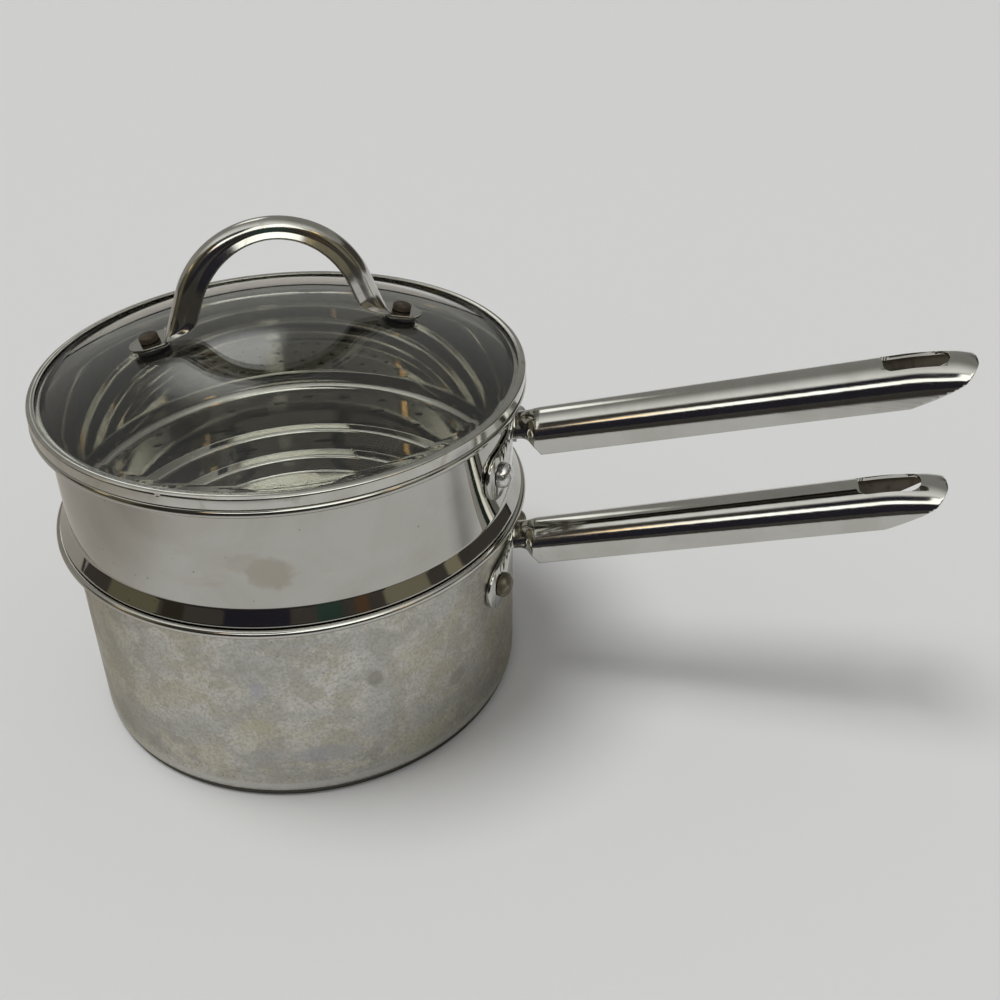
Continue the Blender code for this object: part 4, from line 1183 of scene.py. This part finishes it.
def build_band(scene):
    """Build the folded band: lip over the glass, face, floor under it and skirt."""
    vessel, lid = scene.vessel_sizes, scene.lid_sizes
    level = heights(scene)
    under = level["glass_edge"] + vessel.seat_gap
    over = under + lid.sheet
    base = level["band"]
    outer = lid.radius
    inner = outer - lid.lip
    face = outer - lid.sheet
    skirt_inner = lid.skirt_radius - lid.sheet
    skirt_end = base - lid.skirt_height
    base_round, lip_round = 0.4 * MM, 0.8 * MM
    profile = arc((outer - base_round, base + base_round), base_round, -90, 0, 5)
    profile += [(outer, under - lid.sheet)]
    profile += arc((outer - lip_round, over - lip_round), lip_round, 0, 70, 7)
    profile += curve(
        profile[-1],
        (outer - lid.lip * 0.4, over + lid.crown * 1.3),
        (inner + lid.lip * 0.35, over + lid.crown * 1.3),
        (inner + lid.sheet, over),
        10,
    )
    profile += arc((inner + lid.sheet / 2, under + lid.sheet / 2), lid.sheet / 2, 90, 270, 8)
    profile += [(inner + lid.sheet, under), (face, under), (face, base + lid.sheet)]
    profile += [(skirt_inner, base + lid.sheet), (skirt_inner, skirt_end)]
    profile += [(lid.skirt_radius, skirt_end), (lid.skirt_radius, base)]
    half = lid.notch_width / 2
    start = outer - lid.sheet / 2
    outline = [(start, -half, over + lid.crown + half), (start, half, over + lid.crown + half)]
    outline += [(start, across, up) for across, up in arc((0.0, over), lid.notch_depth, 60, -240, 10)][2:-2]
    notch = prism(outline, (lid.lip, 0.0, 0.0))
    bmesh.ops.transform(notch, matrix=Matrix.Rotation(lid.notch_angle, 4, "Z"), verts=notch.verts)
    band = combined(turned(profile, vessel.segments), [("DIFFERENCE", notch)])
    piece("lid_folded_band", band, "lid_steel", "lid", "lid_rim_band")


def bail_tilt(scene):
    """Return the slope of the glass at a rivet."""
    return math.asin(scene.bail_sizes.rivet_spacing / 2 / scene.lid_sizes.dome_radius)


def lid_rivet_place(scene, side):
    """Place local +Z square to the glass at one rivet, on its top face."""
    bail = scene.bail_sizes
    radius = side * bail.rivet_spacing / 2
    turn = Matrix.Rotation(bail.angle, 4, "Z")
    foot = Matrix.Translation((radius, 0.0, glass_top(scene, abs(radius))))
    return turn @ foot @ Matrix.Rotation(side * bail_tilt(scene), 4, "Y")


def tongue_lift(scene):
    """Return how far the top of a tongue lies over the glass, square to it."""
    bail = scene.bail_sizes
    return 2 * scene.vessel_sizes.seat_gap + bail.seal_thickness + bail.sheet


# Where a tongue has a section, as shares of its length
TONGUE_STOPS = (0.0, 0.3, 0.5, 0.66, 0.78, 0.87, 0.93, 0.97, 0.99, 0.998)


def bail_half_path(scene):
    """Return one half of the outer line of the lid handle, crown to tongue end.

    Each entry is (distance from the axis, height, angle of the outward normal, width,
    depth of the section).
    """
    bail = scene.bail_sizes
    tilt = bail_tilt(scene)
    centre = glass_top(scene, 0.0) + bail.height - bail.radius
    sweep = math.pi / 2 - bail.lean
    bow_steps, leg_steps, bend_steps = 32, 16, 6
    path = []
    for step in range(bow_steps + 1):
        turn = sweep * step / bow_steps
        part = smooth_step(step / bow_steps)
        place = (bail.radius * math.sin(turn), centre + bail.radius * math.cos(turn))
        width = bail.top_width + (bail.tongue - bail.top_width) * part
        depth = bail.top_depth + (bail.leg_depth - bail.top_depth) * part
        path.append((*place, math.pi / 2 - turn, width, depth))

    foot_half = bail.rivet_spacing / 2
    lift = tongue_lift(scene)
    foot = Vector((foot_half + lift * math.sin(tilt), glass_top(scene, foot_half) + lift * math.cos(tilt)))
    leg_run = Vector((math.sin(bail.lean), -math.cos(bail.lean)))
    foot_run = Vector((math.cos(tilt), -math.sin(tilt)))
    leg_start = Vector(path[-1][:2])
    gap = foot - leg_start
    cross = leg_run.x * foot_run.y - leg_run.y * foot_run.x
    corner = leg_start + leg_run * ((gap.x * foot_run.y - gap.y * foot_run.x) / cross)
    bend_angle = math.pi / 2 - bail.lean - tilt
    bend_start = corner - leg_run * bail.bend * math.tan(bend_angle / 2)

    for step in range(leg_steps):
        point = bend_start - leg_run * bail.flattening * (1 - step / leg_steps)
        depth = bail.leg_depth * math.cos(math.pi / 2 * step / leg_steps)
        path.append((point.x, point.y, bail.lean, bail.tongue, depth))
    bend_centre = bend_start + Vector((math.cos(bail.lean), math.sin(bail.lean))) * bail.bend
    for step in range(bend_steps + 1):
        normal = bail.lean + bend_angle * step / bend_steps
        point = bend_centre - Vector((math.cos(normal), math.sin(normal))) * bail.bend
        path.append((point.x, point.y, normal, bail.tongue, 0.0))
    for stop in TONGUE_STOPS:
        point = foot + foot_run * (bail.tongue_end * stop)
        path.append((point.x, point.y, bail.lean + bend_angle, bail.tongue * math.sqrt(1 - stop ** 2), 0.0))
    return path


def bail_section(bail, width, depth):
    """Return the strip's outline as (across, inward) points: a round rib between two lips."""
    rib = bail.rib_width * width / 2
    rise = bail.rib_depth * depth
    edge = Vector((-width / 2, depth))
    crease = Vector((-rib, rise))
    half = [tuple(edge.lerp(crease, part)) for part in (0.0, 0.2, 0.5, 0.85)]
    steps = 12
    for step in range(steps + 1):
        turn = math.pi / 2 * step / steps
        half.append((-rib * math.cos(turn), rise * (1 - math.sin(turn))))
    return strip_outline(mirrored(half), bail.sheet)


def build_bail(scene):
    """Build the lid's handle from one strip."""
    bail = scene.bail_sizes
    turn = Matrix.Rotation(bail.angle, 3, "Z")
    rows = {-1: [], 1: []}
    for reach, height, normal, width, depth in bail_half_path(scene):
        outline = bail_section(bail, width, depth)
        for side, row in rows.items():
            section = []
            for across, inward in outline:
                along = side * (reach - inward * math.cos(normal))
                section.append(turn @ Vector((along, across, height - inward * math.sin(normal))))
            row.append(section)
    shape = loft(rows[-1][:0:-1] + rows[1])
    clearance = bail.shank + 2 * scene.vessel_sizes.seat_gap
    holes = joined([rod(clearance, 8 * MM, 32, lid_rivet_place(scene, side)) for side in (-1, 1)])
    shape = combined(shape, [("DIFFERENCE", holes)])
    soften(shape, math.radians(50), bail.edge)
    piece("lid_strip_bail", shape, "lid_steel", "lid", "lid_handle", sharp=60.0)


def ring(outer, inner, bottom, top):
    return [(inner, bottom), (outer, bottom), (outer, top), (inner, top)]


def build_fixings(scene):
    """Build what clamps the lid handle: seals on both faces, washers and rivets."""
    bail = scene.bail_sizes
    gap = scene.vessel_sizes.seat_gap
    bore = bail.shank / 2 + gap
    bow = (bail.seal / 2) ** 2 / (2 * scene.lid_sizes.dome_radius)
    inner_top = -scene.lid_sizes.glass * math.cos(bail_tilt(scene)) - gap - bow
    inner_base = inner_top - bail.seal_thickness
    washer_top = inner_base - gap
    tail_seat = washer_top - bail.washer_thickness - gap
    tail_end = tail_seat - bail.tail_height
    head_seat = tongue_lift(scene) + gap
    rivet = dome(bail.head, head_seat, bail.head_height, 0.45, 0.62, 14)
    rivet += [(bail.shank / 2, head_seat), (bail.shank / 2, tail_seat), (bail.tail / 2, tail_seat)]
    rivet += [(bail.tail / 2 * 0.85, tail_end), (0.0, tail_end)]
    outer_seal = ring(bail.seal / 2, bore, gap, gap + bail.seal_thickness)
    inner_seal = ring(bail.seal / 2, bore, inner_base, inner_top)
    washer = ring(bail.washer / 2, bore, washer_top - bail.washer_thickness, washer_top)
    stack = (
        ("lid_upper_gasket_", "lid_outer_seal_", outer_seal, "seal_rubber"),
        ("lid_lower_gasket_", "lid_inner_seal_", inner_seal, "seal_rubber"),
        ("lid_back_washer_", "lid_inner_washer_", washer, "satin_steel"),
        ("lid_bail_rivet_", "lid_rivet_", rivet, "pitted_rivet"),
    )
    for side_name, side in (("left", -1), ("right", 1)):
        for own, node, profile, material in stack:
            shape = turned(profile, RIVET_SEGMENTS, lid_rivet_place(scene, side))
            piece(own + side_name, shape, material, "lid", node + side_name)


def floor_paint(graph, place, colour):
    """Pale floor; metal sees it end in front, as a worktop does, with a dark room beyond, and sees its left
    part browner and darker as painted shade.
    """
    grain = graph.noise(place, 400.0, 3.0)
    x, y, _ = graph.split(place)
    mirrored = graph.add("ShaderNodeLightPath", output="Is Glossy Ray")
    beyond = (1.0 - y.ramp(-0.34, -0.28)) * mirrored
    left = (1.0 - x.ramp(-0.22, -0.10)) * mirrored
    # Painted shade: metal sees the floor to the left darker and browner, as a shaded worktop
    left_shade_in_metal = (left * 0.7, 0.38, 0.34, 0.28)
    dark = (beyond, 0.045, 0.040, 0.035)
    shade = graph.layers(rgb(*colour), left_shade_in_metal, dark)
    return graph.principled(Base_Color=shade, Roughness=0.75 + grain * 0.1, Specular_IOR_Level=0.2)


def build_floor(scene):
    """Make the floor, a wide disc."""
    stage = scene.stage_settings
    bm = bmesh.new()
    bmesh.ops.create_circle(bm, cap_ends=True, segments=96, radius=stage.floor_radius)
    floor = plain_object("studio_floor", bm)
    floor.data.materials.append(painted("studio_floor_pale", floor_paint, stage.floor_colour))


def build_world(scene):
    """Make the surroundings: pale for the eye, and for metal and glass a room with a bright ceiling."""
    stage = scene.stage_settings
    world = bpy.data.worlds.new("studio_world")
    scene.world = world
    world.use_nodes = True
    graph = Graph(world.node_tree)
    way = graph.add("ShaderNodeTexCoord", output="Generated")
    x, y, z = graph.split(way)
    seen = graph.add("ShaderNodeLightPath", output="Is Camera Ray")
    mirrored = graph.add("ShaderNodeLightPath", output="Is Glossy Ray")
    through = graph.add("ShaderNodeLightPath", output="Is Transmission Ray")
    climb = z.angle_to(y * -1.0) * (180 / math.pi)
    turn = x.angle_to(y * -1.0) * (180 / math.pi)
    side = (x * x) ** 0.5
    room = graph.mix(climb.ramp(4.0, 24.0), rgb(0.022, 0.020, 0.018), rgb(0.060, 0.053, 0.046))
    things = (
        (-75.0, -48.0, rgb(0.14, 0.13, 0.085)),
        (-48.0, -36.0, rgb(0.035, 0.030, 0.022)),
        (-20.0, 12.0, rgb(0.021, 0.020, 0.028)),
        (22.0, 36.0, rgb(0.030, 0.055, 0.045)),
        (40.0, 48.0, rgb(0.10, 0.060, 0.035)),
        (54.0, 78.0, rgb(0.20, 0.185, 0.130)),
        (86.0, 96.0, rgb(0.26, 0.24, 0.17)),
    )
    for left, right, shade in things:
        inside = turn.ramp(left, left + 2.0) * (1.0 - turn.ramp(right - 2.0, right))
        room = graph.mix(inside, room, shade)
    ceiling = graph.mix(climb.ramp(66.0, 118.0), rgb(1.00, 1.01, 0.99), rgb(0.27, 0.27, 0.255))
    ceiling = graph.mix(side.ramp(0.60, 0.92), ceiling, rgb(0.30, 0.29, 0.27))
    dark_right = x.ramp(0.30, 0.50) * (1.0 - z.ramp(0.38, 0.46))
    room = graph.mix(climb.ramp(57.0, 68.0) * (1.0 - dark_right), room, ceiling)
    tall = turn.ramp(4.0, 14.0) * 0.18
    window = z.ramp(0.485, 0.515) * (1.0 - (z - tall).ramp(0.64, 0.70))
    window = window * turn.ramp(-26.0, -16.0) * (1.0 - turn.ramp(54.0, 62.0))
    room = graph.mix(window, room, rgb(2.0, 2.05, 1.95))
    pane = graph.dot(way, Vector((-0.38, 0.68, 0.64)).normalized()).ramp(0.966, 0.998)
    room = graph.mix(pane * (1.0 - x.ramp(-0.34, -0.27)), room, rgb(1.60, 1.62, 1.56))
    glints = (
        ((-0.85, -0.35, 0.37), 5.0, rgb(1.5, 1.1, 0.6)),
        ((-0.28, -0.77, 0.56), 3.5, rgb(2.6, 1.7, 0.75)),
        ((0.78, -0.38, 0.50), 4.5, rgb(2.6, 1.7, 0.75)),
    )
    for direction, spread, shade in glints:
        middle = Vector(direction).normalized()
        edge = math.cos(math.radians(spread))
        core = math.cos(math.radians(spread * 0.25))
        room = graph.mix(graph.dot(way, middle).ramp(edge, core), room, shade)
    colour = graph.mix((mirrored + through).least(1.0), rgb(0.90, 0.90, 0.90), room)
    shown = (seen + mirrored + through).least(1.0)
    strength = shown + (1.0 - shown) * stage.ambient
    graph.show(
        graph.add("ShaderNodeBackground", inputs={"Color": colour, "Strength": strength}),
        "ShaderNodeOutputWorld",
    )


def build_lamp(scene):
    """Make the overhead lamp; metal mirrors the bright ceiling instead of the lamp itself."""
    name = "overhead_lamp"
    place, target = Vector((-0.35, -0.08, 1.5)), Vector((0.05, 0.0, 0.08))
    data = bpy.data.lights.new(name, "SUN")
    data.energy = scene.stage_settings.lamp_strength
    data.angle = scene.stage_settings.lamp_spread
    lamp = bpy.data.objects.new(name, data)
    lamp.location = place
    lamp.rotation_euler = (target - place).to_track_quat("-Z", "Y").to_euler()
    lamp.visible_glossy = False
    lamp.visible_transmission = False
    scene.collection.objects.link(lamp)


def build_camera(scene):
    stage = scene.stage_settings
    data = bpy.data.cameras.new("photo_camera")
    data.sensor_width = 36.0
    data.lens = stage.focal_share * data.sensor_width
    data.shift_y = stage.shift_y
    data.clip_start = 0.01
    camera = bpy.data.objects.new("photo_camera", data)
    heading, pitch, roll = stage.camera_heading, stage.camera_pitch, stage.camera_roll
    ahead = Vector(
        (math.cos(heading) * math.cos(pitch), math.sin(heading) * math.cos(pitch), -math.sin(pitch))
    )
    level_right = ahead.cross(Vector((0.0, 0.0, 1.0))).normalized()
    level_up = level_right.cross(ahead)
    right = math.cos(roll) * level_right + math.sin(roll) * level_up
    up = right.cross(ahead)
    turn = Matrix((right, up, -ahead)).transposed().to_4x4()
    camera.matrix_world = Matrix.Translation(stage.camera_place) @ turn
    scene.collection.objects.link(camera)
    scene.camera = camera


def build_stage(scene):
    """Make floor, surroundings, lamp and camera."""
    build_floor(scene)
    build_world(scene)
    build_lamp(scene)
    build_camera(scene)
    scene.view_settings.view_transform = "Standard"


def dress_hidden_nodes():
    """Give the nodes that are shown as they are their detailed finish."""
    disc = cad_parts["saucepan_heat_disc"]
    for index in range(len(disc.data.materials)):
        disc.data.materials[index] = finish("heat_disc_aluminium")


class COOKWARE_OT_pan(Operator):
    """Build the saucepan's shell and base"""

    bl_idname = "cookware.pan"
    bl_label = "Pan"

    def execute(self, context):
        build_pan(context.scene)
        dress_hidden_nodes()
        return {"FINISHED"}


class COOKWARE_OT_steamer(Operator):
    """Build the steamer's stepped shell"""

    bl_idname = "cookware.steamer"
    bl_label = "Steamer"

    def execute(self, context):
        build_steamer(context.scene)
        return {"FINISHED"}


class COOKWARE_OT_grips(Operator):
    """Build both long handles with their rivets"""

    bl_idname = "cookware.grips"
    bl_label = "Long handles"

    def execute(self, context):
        scene = context.scene
        grip = scene.grip_sizes
        pan, steamer = scene.pan_sizes, scene.steamer_sizes
        steamer_rim = heights(scene)["steamer_rim"]
        build_grip(scene, "saucepan", pan.rim_height, grip.pan_drop, pan.sheet, "tarnished_rivet")
        build_grip(scene, "steamer", steamer_rim, grip.steamer_drop, steamer.sheet, "bright_rivet")
        return {"FINISHED"}


class COOKWARE_OT_lid(Operator):
    """Build the lid's glass and band"""

    bl_idname = "cookware.lid"
    bl_label = "Lid"

    def execute(self, context):
        build_glass(context.scene)
        build_band(context.scene)
        return {"FINISHED"}


class COOKWARE_OT_bail(Operator):
    """Build the lid's handle and its fixings"""

    bl_idname = "cookware.bail"
    bl_label = "Lid handle"

    def execute(self, context):
        build_bail(context.scene)
        build_fixings(context.scene)
        return {"FINISHED"}


class COOKWARE_OT_stage(Operator):
    """Make floor, light and camera"""

    bl_idname = "cookware.stage"
    bl_label = "Stage"

    def execute(self, context):
        build_stage(context.scene)
        return {"FINISHED"}


class COOKWARE_PT_panel(Panel):
    """Sidebar panel with one button per group"""

    bl_label = "Saucepan with steamer"
    bl_idname = "COOKWARE_PT_panel"
    bl_space_type = "VIEW_3D"
    bl_region_type = "UI"
    bl_category = "Cookware"

    def draw(self, context):
        for operator in OPERATORS:
            self.layout.operator(operator.bl_idname)
        for name in GROUPS:
            box = self.layout.box()
            group = getattr(context.scene, name)
            for key in group.__annotations__:
                box.prop(group, key)


OPERATORS = (
    COOKWARE_OT_pan,
    COOKWARE_OT_steamer,
    COOKWARE_OT_grips,
    COOKWARE_OT_lid,
    COOKWARE_OT_bail,
    COOKWARE_OT_stage,
)
GROUPS = {
    "vessel_sizes": VesselSizes,
    "pan_sizes": PanSizes,
    "steamer_sizes": SteamerSizes,
    "grip_sizes": GripSizes,
    "lid_sizes": LidSizes,
    "bail_sizes": BailSizes,
    "stage_settings": StageSettings,
}


def register():
    for group in GROUPS.values():
        bpy.utils.register_class(group)
    for name, group in GROUPS.items():
        setattr(bpy.types.Scene, name, PointerProperty(type=group))
    for operator in OPERATORS:
        bpy.utils.register_class(operator)
    bpy.utils.register_class(COOKWARE_PT_panel)


def unregister():
    bpy.utils.unregister_class(COOKWARE_PT_panel)
    for operator in reversed(OPERATORS):
        bpy.utils.unregister_class(operator)
    for name, group in reversed(GROUPS.items()):
        delattr(bpy.types.Scene, name)
        bpy.utils.unregister_class(group)


def main():
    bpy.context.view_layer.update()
    register()
    bpy.ops.cookware.pan()
    bpy.ops.cookware.steamer()
    bpy.ops.cookware.grips()
    bpy.ops.cookware.lid()
    bpy.ops.cookware.bail()
    bpy.ops.cookware.stage()


if __name__ == "__main__":
    main()
